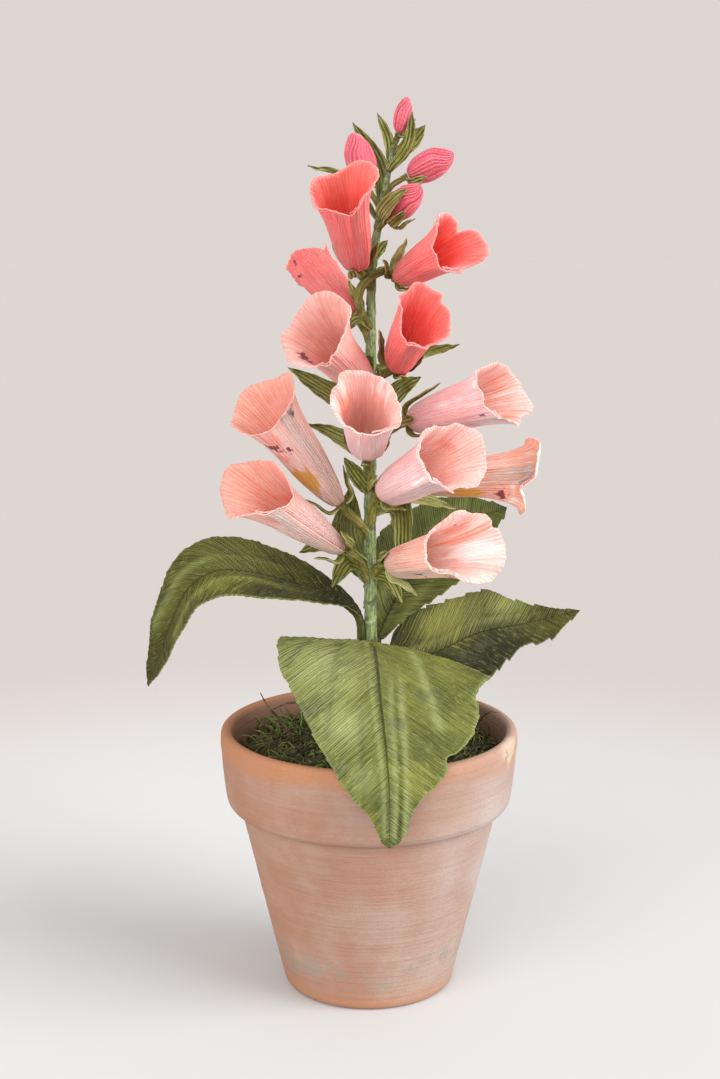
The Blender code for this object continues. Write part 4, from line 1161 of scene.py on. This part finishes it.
# A lip leans out this many mm over a turn of so many degrees, and further where it is rolled.
LIP_CURL = 0.6
LIP_TURN = 65.0
LIP_TURN_MORE = 45.0
LIP_TURN_MOST = 165.0
LAYER_GAP = 0.7
# How much slimmer a pointed closed end is, and the height in mm of a bell's lumps, pleats,
# ruffles and frill, and of the edge of its seam
POINT_SLIMS = 0.34
LUMPS = 0.32
FINE_PLEATS = 0.22
RUFFLES = 0.8
FRILL = 0.35
SEAM_EDGE = 0.4
# The seam's outer corner reaches further down than the inner one.
SEAM_CORNER = 0.9

# What makes each bell its own. seam is the roll where its paper starts, point is how long and slim
# its closed end is and throat how strong the painted glow deep inside is, both from 0 to 1: that
# deeper colour inside stands in for light that shines through the paper into the bell. pleats are
# (roll, spread in degrees, mm outwards), and rim is (roll, mm longer, mm wider) round the mouth.
# A touch is (mark, roll, share of the length, spread in degrees, spread in shares, strength), on
# the inner face where the mark starts with in_; most are dabs of dye, and a few whites are painted
# light. A curl is where the lip is rolled further outwards: (roll, spread in degrees, mm).
Make = namedtuple("Make", "paper seam point throat pleats rim touches curls", defaults=((),))
MAKES = {
    "bell_coral_top": Make(
        "coral", 200, 0.1, 0.9, ((200, 7, -1.2), (60, 10, 0.8), (300, 12, 0.7)),
        ((0, 2, 1.5), (20, 0.8, 0.6), (38, 1, 0.8), (58, 2, 1.6), (75, 3.5, 1.2), (90, 1.5, 1),
         (112, 1, 0.8), (135, 3, 1), (155, 4.5, 1.2), (172, 4, 0.8), (188, 2.5, 0.4), (200, 0, 0),
         (216, 3, 0), (236, 6, 0.6), (262, 5.5, 1.3), (285, 6, 2.2), (312, 7, 2.3), (336, 6, 1.5)),
        (("plum", 148, 0.84, 6, 0.03, 0.5), ("plum", 140, 0.64, 5, 0.03, 0.35),
         # The in_white at roll 118 is a painted highlight on the near lip.
         ("in_white", 118, 0.95, 8, 0.03, 0.9), ("rosy", 195, 0.6, 7, 0.35, 0.5),
         ("rosy", 190, 0.1, 60, 0.1, 0.4))),
    "bell_coral_right": Make(
        "coral", 150, 0.3, 0.9, ((316, 6, -1.8), (340, 10, 0.9), (120, 10, -0.8)),
        ((0, 0, 3.8), (18, 2, 2.8), (32, 4.5, 1.4), (45, 7, 1), (58, 8.5, 1.2), (74, 8.8, 1),
         (88, 6, 0.8), (100, 5, 0.8), (114, 4, 0.8), (130, 3.2, 0.8), (146, 2, 0.8),
         (165, 2.5, 0.8), (184, 3, 1), (204, 4.5, 1.8), (218, 5.2, 2.3), (230, 7.5, 2.8),
         (244, 8.8, 3.3), (258, 7.2, 3.3), (276, 5.5, 3.3), (292, 4.3, 3.2), (304, 2, 2),
         (314, 0, 1.3), (326, 0, 2.3), (340, -0.4, 3.5)),
        (("rosy", 150, 0.2, 50, 0.25, 0.4), ("in_white", 10, 0.98, 12, 0.06, 0.6))),
    "bell_coral_left": Make(
        "coral", 100, 0.3, 0.7, ((40, 9, -1), (250, 10, 0.6)),
        ((0, 0, -1.2), (16, -0.5, -1.6), (24, 1, -0.8), (30, 3.5, 1.2), (37, 1.5, -0.6),
         (46, -1.5, -1.6), (70, -2, 0.4), (95, -2.5, 1), (130, -2.5, 0.6), (180, 0, 0),
         (230, 3.5, -0.8), (270, 5, -1.4), (315, 3.5, -1)),
        (("plum", 279, 0.92, 9, 0.04, 1.3), ("plum", 260, 0.76, 7, 0.04, 1.1))),
    "bell_coral_middle": Make(
        "coral", 150, 0, 0.35, ((198, 8, -1), (150, 8, 0.8), (300, 7, -1.5)),
        ((0, 6.2, 0.8), (14, 5.8, 0.6), (26, 4.4, 0.2), (45, 4.5, -0.3), (65, 6.5, -0.6),
         (85, 8.5, -0.8), (100, 9, -0.8), (112, 6.5, -0.5), (122, 3.2, -0.2), (134, 0.2, -0.2),
         (146, -0.8, -0.2), (160, -0.8, -0.2), (180, -2.5, 0.4), (194, -2.8, 0.8),
         (208, -1.5, 1.2), (225, 0, 2.2), (242, 0, 2.5), (260, -0.5, 2.2), (274, 0.2, 1.8),
         (286, 2, 0.7), (298, 2.6, 0.3), (308, 4.5, 0.8), (320, 5, 0.8), (340, 5, 0.8)),
        (("in_white", 15, 0.95, 10, 0.06, 0.4), ("rosy", 160, 0.1, 60, 0.12, 0.4),
         # The in_white at roll 250 is painted light that lightens the shaded inside.
         ("in_white", 250, 0.6, 40, 0.2, 0.3))),
    "bell_pale_upper_left": Make(
        "salmon", 178, 0.3, 0.15, ((186, 6, -1.2), (20, 8, -1), (95, 10, 0.8)),
        ((0, 9.5, 3), (20, 8.8, 2.8), (46, 4.5, 2.8), (74, 2.2, 3.7), (90, 2.8, 4.1),
         (102, 0.5, 4.4), (115, 0, 4.5), (135, 4, 4.2), (155, 7, 3.8), (168, 5.5, 3),
         (178, 1.5, 1), (192, -0.8, -0.5), (204, -0.4, -0.7), (218, 3, -0.7), (246, 4.5, -0.5),
         (264, 5.2, -0.3), (280, 5, 0), (298, 6, 2.5), (310, 6.5, 3.8), (324, 5, 4.3),
         (340, 8, 3.6)),
        (("in_plum", 118, 0.84, 12, 0.06, 1.5), ("in_plum", 130, 0.76, 9, 0.06, 1.3),
         ("in_rosy", 60, 0.62, 26, 0.12, 0.7), ("in_rosy", 20, 0.62, 12, 0.16, 0.5),
         ("in_white", 330, 0.9, 26, 0.12, 0.5), ("in_white", 10, 0.97, 40, 0.05, 0.35))),
    "bell_pale_front": Make(
        "blush", 190, 0, 0.15, ((60, 8, -1), (235, 8, 0.8), (150, 9, -0.8)),
        ((0, 3.5, 0.7), (24, 6, 1.2), (44, 7, 1.7), (64, 5.8, 1.7), (82, 3.5, 1.7),
         (110, 4.8, 1.2), (130, 3.8, 0.7), (152, 2.2, 0.2), (170, 1, -0.3), (202, 0.5, -0.3),
         (220, 0.5, 0.5), (234, 0.5, 1.5), (246, 3.2, 1.8), (262, 2, 1), (280, 1, -0.3),
         (298, 0, 0), (316, -0.5, 0.7), (330, 2.6, 0.7), (346, 2, 0.7)),
        (("in_rosy", 65, 0.68, 44, 0.2, 1.25), ("in_white", 325, 0.84, 36, 0.16, 0.8),
         ("in_white", 290, 0.6, 24, 0.2, 0.7), ("in_white", 95, 0.96, 30, 0.05, 0.5),
         ("in_yellow", 358, 0.66, 5, 0.1, 0.5), ("rosy", 205, 0.88, 24, 0.08, 0.8),
         ("white", 165, 0.6, 16, 0.15, 0.5))),
    "bell_pale_left": Make(
        "peach", 265, 0.9, 0.35, ((265, 7, -1), (40, 12, -0.9), (210, 9, 0.6)),
        ((0, 6, 3.6), (26, 5.6, 3.1), (56, 6.2, 2.6), (82, 7.8, 2.6), (100, 7.8, 2.6),
         (124, 5.5, 3.1), (145, 3.5, 3.5), (165, 3.5, 3.4), (182, 1, 3), (195, 0, 2.4),
         (210, -1.2, 1.6), (228, -3, 0.6), (254, -2.8, 0.1), (280, -1.5, 0.4), (305, -0.8, 1),
         (324, 1.5, 2), (342, 5, 3)),
        (("rosy", 225, 0.86, 36, 0.16, 1), ("plum", 214, 0.8, 17, 0.045, 1.1),
         ("plum", 242, 0.75, 9, 0.04, 1), ("rosy", 206, 0.66, 24, 0.07, 1.4),
         ("yellow", 214, 0.38, 42, 0.15, 1.7), ("white", 212, 0.14, 14, 0.05, 0.9),
         ("white", 300, 0.8, 14, 0.08, 0.5), ("plum", 296, 0.92, 4, 0.02, 0.7),
         ("in_rosy", 70, 0.62, 20, 0.1, 0.9))),
    "bell_pale_right": Make(
        "blush", 130, 0.4, 0.15, ((130, 7, -0.9), (40, 8, 0.8), (215, 9, -0.8)),
        ((0, 1.8, 1), (18, 0.8, 0.6), (32, -0.8, 1), (50, 0, 0.3), (70, 0.8, -0.2),
         (88, 2.5, -0.2), (108, 2, -0.2), (128, 2.8, -0.2), (148, 5, 0.3), (162, 7.5, 1.4),
         (178, 6.5, 2.2), (200, 4.8, 2.4), (214, 3.8, 2.3), (226, 5.5, 2.3), (240, 6.2, 2.8),
         (252, 5, 2.7), (272, 3, 2.3), (302, 2, 1.8), (328, 2.8, 1.3), (346, 2.3, 1.3)),
        (("white", 80, 0.52, 26, 0.18, 0.9), ("rosy", 22, 0.5, 16, 0.4, 0.8),
         ("rosy", 110, 0.72, 30, 0.1, 0.5), ("plum", 132, 0.86, 7, 0.03, 1.1),
         ("in_white", 262, 0.8, 22, 0.14, 0.6), ("in_rosy", 215, 0.9, 24, 0.14, 1.1),
         ("in_rosy", 310, 0.82, 60, 0.16, 0.85), ("white", 60, 0.95, 20, 0.05, 0.9)),
        ((100, 40, 0.5),)),
    "bell_pale_low_left": Make(
        "peach", 215, 0.9, 0.3, ((215, 8, -1), (60, 10, -0.8), (170, 9, 0.6)),
        ((0, 1.5, 1.8), (20, 1.8, 2.3), (48, 4.5, 3), (70, 8.5, 3.5), (94, 8, 4), (118, 6.5, 4),
         (132, 4.8, 4), (148, 4.5, 3.8), (168, 5.5, 3.4), (195, 5, 3), (212, 2.2, 2),
         (228, -1.5, 1), (248, -4.5, 0), (274, -7, 0), (298, -7.5, 0), (312, -5.8, 0.5),
         (332, -2.2, 1), (348, 0, 1.4)),
        (("rosy", 215, 0.8, 16, 0.1, 1.1), ("white", 190, 0.55, 20, 0.08, 0.8),
         ("white", 290, 0.8, 30, 0.12, 0.5), ("white", 185, 0.22, 20, 0.06, 0.6),
         ("in_rosy", 45, 0.6, 34, 0.1, 0.9), ("in_plum", 168, 0.8, 5, 0.03, 1),
         ("in_white", 150, 0.9, 30, 0.1, 0.4))),
    "bell_pale_middle": Make(
        "blush", 130, 0.2, 0.1, ((130, 7, 0.9), (350, 10, -1.2), (60, 8, -0.7)),
        ((0, 1, 0.6), (20, 3, 0.8), (34, 3, 1), (48, 1.5, 0.8), (66, -0.5, -0.2), (94, 1.5, -0.5),
         (115, 1.7, -0.5), (132, 1.8, -0.5), (150, 1.5, 0.2), (165, 1.5, 0.8), (178, 3, 1.2),
         (190, 5, 1.8), (205, 7, 2.6), (220, 5, 3.2), (240, 4.8, 3), (262, 6.2, 2.4),
         (284, 7.4, 2.3), (296, 7.8, 2), (316, 5.6, 1.6), (332, 5, 1.3), (350, 3, 1)),
        (("white", 128, 0.72, 24, 0.14, 0.8), ("rosy", 60, 0.5, 14, 0.25, 0.5),
         ("rosy", 168, 0.85, 8, 0.08, 0.8), ("white", 62, 0.97, 20, 0.05, 1),
         ("in_white", 350, 0.62, 30, 0.1, 0.9), ("in_rosy", 310, 0.74, 30, 0.08, 1.1),
         ("in_rosy", 270, 0.72, 20, 0.08, 0.6), ("in_white", 95, 0.96, 60, 0.06, 0.6)),
        ((95, 50, 1.1),)),
    "bell_pale_far_right": Make(
        "apricot", 60, 0.4, 0.3, ((100, 8, -1), (60, 8, 0.6)),
        ((0, 1, 2), (14, 2.5, 3.5), (30, 6, 3), (55, 5.5, 2.2), (84, 3.8, 1.6), (98, -1.5, 1.6),
         (115, -1.5, 2.5), (134, -1.5, 4.2), (150, -3, 4.8), (168, -3, 3), (190, -2, 2),
         (220, 0, 2), (250, 3, 2.5), (280, 5, 2.5), (310, 6, 2.5), (335, 2.5, 2)),
        (("yellow", 132, 0.5, 26, 0.16, 1.5), ("plum", 128, 0.78, 14, 0.05, 1.2),
         # The whites round roll 90, outside and on the lip, are painted light on surfaces that
         # face away from the light.
         ("white", 90, 0.55, 60, 0.3, 0.45), ("white", 100, 0.88, 80, 0.04, 0.9),
         ("in_white", 90, 0.97, 90, 0.1, 1.4), ("rosy", 70, 0.6, 30, 0.14, 0.8)),
        ((80, 75, 2.6),)),
    "bell_pale_low_right": Make(
        "apricot", 120, 0.2, 0.15, ((302, 5, -1.5), (320, 10, 0.9), (140, 8, -0.9)),
        ((0, 6, 3.2), (12, 6, 3.4), (28, 3, 2.6), (42, -1.5, 1.5), (56, -3.8, 0.3),
         (74, -4.8, 0.1), (98, -5.5, 0.1), (120, -4.2, 0.1), (140, 0.2, 0.1), (156, 4, 0.8),
         (170, 4.5, 1.8), (184, 6, 2.8), (198, 8, 3.8), (212, 7.5, 4.6), (224, 9, 4.2),
         (240, 10.5, 3.5), (256, 10.4, 3.2), (274, 9.8, 3.1), (294, 9.4, 3.1), (310, 8.5, 3.1),
         (326, 6.2, 3.1), (344, 5, 3)),
        (("rosy", 55, 0.35, 36, 0.3, 1), ("white", 130, 0.74, 30, 0.1, 0.8),
         ("white", 130, 0.2, 30, 0.1, 0.5), ("plum", 140, 0.52, 14, 0.05, 0.8),
         ("plum", 160, 0.84, 9, 0.04, 1), ("in_white", 262, 0.76, 26, 0.28, 1.5),
         ("in_rosy", 332, 0.76, 34, 0.22, 1), ("in_rosy", 303, 0.66, 6, 0.34, 1.4),
         ("in_plum", 345, 0.84, 4, 0.02, 0.8), ("in_white", 90, 0.97, 50, 0.04, 0.3)),
        ((90, 45, 0.9),)),
}
# wall, shade, light, rim, base and heart, outside and then inside. The heart colour is for the
# rosy dye, and on the inner face also for the painted glow deep in the bell.
PAPERS = {
    "coral": (("#FC6E6C", "#EA4C4A", "#FF8886", "#FF9896", "#E84E4A", "#EA4038"),
              ("#F9726C", "#F2544E", "#FF8C88", "#FF9C9A", "#F43424", "#F42A16")),
    "salmon": (("#F8A69E", "#E67E74", "#FDC2BA", "#F8B4AC", "#E8948A", "#EC7A6C"),
               ("#F8ACA4", "#EA867C", "#FDC4BE", "#EA8C82", "#F4988A", "#F27868")),
    "peach": (("#F8BAB0", "#EA968E", "#FEDCD6", "#F49E90", "#DEA68E", "#EE7C6C"),
              ("#F49E90", "#E67E70", "#FAB8AC", "#F48E80", "#F08C7C", "#E86A58")),
    "blush": (("#FFBABC", "#F69698", "#FFDCDC", "#F4908E", "#F6A29A", "#F47E78"),
              ("#FFBCB4", "#F8968E", "#FFDAD4", "#F48680", "#FCA89A", "#FC8A76")),
    "apricot": (("#FFAA98", "#F88674", "#FFD4CA", "#F4948A", "#F69680", "#F76E54"),
                ("#FFC4BC", "#F8968C", "#FFE6E2", "#F08A80", "#FDAE9C", "#FA7A62")),
}


def outline_rows(stations, stretch, count):
    """The share of the length and of the radius for each row of a flower, evenly spaced along
    its outline when that is stretched by so much."""
    flat = [(s * stretch, w, 0.0) for s, w in stations]
    rows = []
    for k in range(count + 1):
        spot = curve_point(flat, place_at(flat, k / count))
        rows.append((min(max(spot.x / stretch, 0.0), 1.0), max(spot.y, 0.0)))
    return rows


def around(table, roll):
    """Read a table of (roll, amount, amount) pairs that closes on itself, smoothly."""
    roll %= 360
    knots = list(table)
    knots = [(knots[-1][0] - 360, *knots[-1][1:])] + knots + [(knots[0][0] + 360, *knots[0][1:])]
    knots = [(knots[-3][0] - 360, *knots[-3][1:])] + knots + [(knots[2][0] + 360, *knots[2][1:])]
    for k in range(1, len(knots) - 2):
        if roll <= knots[k + 1][0]:
            t = (roll - knots[k][0]) / (knots[k + 1][0] - knots[k][0])
            spot = curve_point([(0, a, b) for _, a, b in knots[k - 1:k + 3]], 1 + t)
            return spot.y, spot.z
    return knots[-1][1:]


def make_bell(bell, faces, seed):
    """A bell: paper rolled into a tube with an overlapped seam, gathered at its closed end
    and stretched to a flared, ruffled mouth. faces are its papers, outside and inside."""
    make = MAKES[bell.name]
    axes = bell_axes(bell.azimuth, bell.elevation)
    base = Vector(bell.base)
    rows = outline_rows(BELL_STATIONS, BELL_STRETCH, BELL_ROWS)
    girth = math.tau * bell.radius
    sweep = 360.0 + OVERLAP
    rolls = [make.seam + k / BELL_COLUMNS * sweep for k in range(BELL_COLUMNS + 1)]
    rim = [around(make.rim, roll) for roll in rolls]
    outs = [out_from(axes, roll) for roll in rolls]
    curls = []
    for roll in rolls:
        wide = LIP_CURL + sum(high * bump(turn_between(roll, at), spread)
                              for at, spread, high in make.curls)
        turn = math.radians(min(LIP_TURN + LIP_TURN_MORE * (wide - LIP_CURL), LIP_TURN_MOST))
        roll_out = wide / (1 - math.cos(turn))
        curls.append((roll_out, 1.0 - roll_out * turn / bell.length, turn))

    def place(across, along):
        column = round(across * BELL_COLUMNS)
        roll, out = rolls[column], outs[column]
        share, width = rows[round(along * BELL_ROWS)]
        longer, wider = rim[column]
        opening = max(0.0, (share - FLARE_START) / (1 - FLARE_START))
        slim = 1.0 - POINT_SLIMS * make.point * (1.0 - ease(share, 0.0, 0.5))
        radius = bell.radius * width * slim + (wider - LIP_CURL) * opening ** 2.2
        settle = min(1.0, radius / 3.0)
        lump = hum(out.x * 1.4 + seed, out.y * 1.4 + share * 2.2, out.z * 1.4)
        pleat = hum(roll * girth / 360 / 1.5, share * 2.4, seed)
        ruffle = hum(roll / 24.0, seed * 3.0, share * 1.5) * opening ** 2
        frill = hum(roll / 7.0, seed * 5.0, share * 2.5) * opening ** 3
        rough = LUMPS * lump + FINE_PLEATS * pleat + RUFFLES * ruffle + FRILL * frill
        radius += rough * settle
        for at, spread, high in make.pleats:
            radius += high * bump(turn_between(roll, at), spread) * ease(share, 0.3, 0.95)
        roll_out, start, turn = curls[column]
        turned = turn * max(0.0, (share - start) / (1 - start))
        radius += LAYER_GAP * across * settle + roll_out * (1 - math.cos(turned))
        run = min(share, start) * (bell.length + longer) + roll_out * math.sin(turned)
        run += 0.3 * hum(roll / 8.0, seed * 7.0) * opening
        run += 0.10 * hum(roll / 3.7, seed * 9.0) * opening
        run += SEAM_CORNER * ease(across, 0.93, 1.0) * opening
        radius += SEAM_EDGE * ease(across, 0.97, 1.0) * settle
        return base + axes[0] * run + out * radius

    def measure(across, along):
        roll = make.seam + across * sweep
        return roll * girth / 360 + seed * 60.0, rows[round(along * BELL_ROWS)][0] * bell.length

    def marks(across, along):
        roll = make.seam + across * sweep
        share = rows[round(along * BELL_ROWS)][0]
        found = {"reach": share, "heart": make.throat * (1 - ease(share, 0.55, 0.95))}
        for mark, at, where, spread, tall, strength in make.touches:
            weight = bump(turn_between(roll, at), spread) * bump(share - where, tall)
            found[mark] = max(found.get(mark, 0.0), strength * weight)
        return found

    bm = new_sheets()
    add_sheet(bm, BELL_COLUMNS, BELL_ROWS, place, measure, marks)
    slot = "coral_crepe" if bell in CORAL_BELLS else "pale_pink_crepe"
    piece = finished(bm, bell.name + "_rolled", bell.name, slot, *faces)
    thicken(piece, BELL_PAPER, -1.0, inside=1)


# ---- The buds ----
BUD_COLOURS = ("#D45E6E", "#A8344A", "#EC909C", "#E07884", "#CC5464", "#A83044")
BUD_COLUMNS = 120
BUD_ROWS = 44
BUD_STRETCH = 3.0
BUD_TWIST = 50.0
PLEAT_WIDTH = 1.6
# The depth of the pleats, and how much deeper they are at the tip and at the closed end, as
# shares of the radius
PLEAT_DEPTH = 0.06
TIP_DEEPER = 0.05
FOOT_DEEPER = 0.04
BUD_LUMPS = 0.05
# The crinkles of the buds are drawn 1.3 mm apart instead of the real 0.5 mm, as finer ones would
# run together at the size of the photo.
BUD_GRAIN = 0.6


def make_bud(bud, paper, seed):
    """A bud: paper pleated round a core and gathered to a twisted tip."""
    axes = bell_axes(*bud_angles(bud))
    base = Vector(bud.base)
    pleats = round(math.tau * bud.radius / PLEAT_WIDTH)
    length = (Vector(bud.tip) - base).length
    rows = outline_rows(BUD_STATIONS, BUD_STRETCH, BUD_ROWS)
    rows[0] = (0.0, 0.0)
    rows[-1] = (1.0, 0.0)

    def pleat(turn):
        return math.cos(pleats * turn + 1.2 * math.sin(3 * turn + seed))

    def place(across, along):
        share, width = rows[round(along * BUD_ROWS)]
        roll = across * 360 + BUD_TWIST * ease(share, 0.55, 1.0)
        turn = math.tau * across
        deep = PLEAT_DEPTH + TIP_DEEPER * ease(share, 0.6, 0.95)
        deep += FOOT_DEEPER * (1 - ease(share, 0.05, 0.3))
        lump = BUD_LUMPS * hum(math.cos(turn) * 1.6, math.sin(turn) * 1.6, share * 3 + seed)
        radius = bud.radius * width * (1 + deep * pleat(turn) + lump)
        return base + axes[0] * share * length + out_from(axes, roll) * radius

    def measure(across, along):
        share = rows[round(along * BUD_ROWS)][0]
        return across * math.tau * bud.radius * BUD_GRAIN, share * length

    def marks(across, along):
        share = rows[round(along * BUD_ROWS)][0]
        # The rosy marks paint shade in the furrows of the pleats.
        return {"reach": 0.3 + 0.4 * share, "rosy": 0.9 * max(0.0, -pleat(math.tau * across))}

    bm = new_sheets()
    add_sheet(bm, BUD_COLUMNS, BUD_ROWS, place, measure, marks)
    finished(bm, bud.name + "_pleated", bud.name, "magenta_crepe", paper)


# ---- The studio ----
def make_studio():
    """A pale floor and soft light, mostly from the right, with the camera."""
    scene = bpy.context.scene
    scene.view_settings.view_transform = "Standard"
    bm = bmesh.new()
    bmesh.ops.create_grid(bm, x_segments=1, y_segments=1, size=FLOOR_HALF * MM)
    bmesh.ops.translate(bm, verts=bm.verts, vec=(0, 0, FLOOR_LEVEL * MM))
    mesh = bpy.data.meshes.new("floor")
    bm.to_mesh(mesh)
    bm.free()
    floor = bpy.data.objects.new("floor", mesh)
    scene.collection.objects.link(floor)
    # Matt backing paper, painted a little darker further away as painted shade
    paper, tree, shader = new_material("floor_pale", 0.9, 0.0)
    solid = add_node(tree, "ShaderNodeTexCoord", {}, {}).outputs["Object"]
    away = add_node(tree, "ShaderNodeVectorMath", {"operation": "LENGTH"}, {0: solid})
    far = add_node(tree, "ShaderNodeMapRange", SMOOTH, {
        "Value": away.outputs["Value"], "From Min": FLOOR_NEAR * MM, "From Max": FLOOR_FAR * MM})
    coats(tree, shader, "#CFD2D3", ((far.outputs[0], 1.0, "#BFBBB9"),))
    mesh.materials.append(paper)

    world = bpy.data.worlds.new("studio")
    world.use_nodes = True
    sky = world.node_tree.nodes["Background"]
    sky.inputs["Color"].default_value = dye("#FFF6F1")
    sky.inputs["Strength"].default_value = SKY_STRENGTH
    scene.world = world

    for name, (strength, spread, comes_from) in LIGHTS.items():
        light = bpy.data.lights.new(name, "SUN")
        light.energy = strength
        light.angle = math.radians(spread)
        lamp = bpy.data.objects.new(name, light)
        lamp.rotation_euler = Vector(comes_from).to_track_quat("Z", "Y").to_euler()
        scene.collection.objects.link(lamp)

    camera = bpy.data.cameras.new("camera")
    camera.sensor_width = SENSOR
    camera.lens = SENSOR * FOCAL_PIXELS / PHOTO_TALL
    camera.clip_start = 0.01
    view = bpy.data.objects.new("camera", camera)
    view.location = Vector(CAMERA_PLACE) * MM
    view.rotation_euler = (math.radians(90 - CAMERA_TILT), 0, 0)
    scene.collection.objects.link(view)
    scene.camera = view


def build():
    """Make every piece of the plant and its pot."""
    make_studio()
    make_pot()
    foam = make_foam()
    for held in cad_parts["foam_plug"].material_slots:
        held.material = foam
    make_moss()
    make_stem()
    papers = {name: make_green_paper(kind) for name, kind in LEAF_PAPERS}
    for k, leaf in enumerate(LEAVES):
        make_leaf(leaf, papers.get(leaf.name, papers["others"]), k + 1.0)
    papers = {
        name: (make_flower_paper(name + "_crepe_outside", outside),
               make_flower_paper(name + "_crepe_inside", inside, "in_"))
        for name, (outside, inside) in PAPERS.items()}
    for k, bell in enumerate(BELLS):
        make_bell(bell, papers[MAKES[bell.name].paper], k + 1.0)
    bud_paper = make_flower_paper("magenta_crepe_bud", BUD_COLOURS)
    for k, bud in enumerate(BUDS):
        make_bud(bud, bud_paper, k + 1.0)


build()
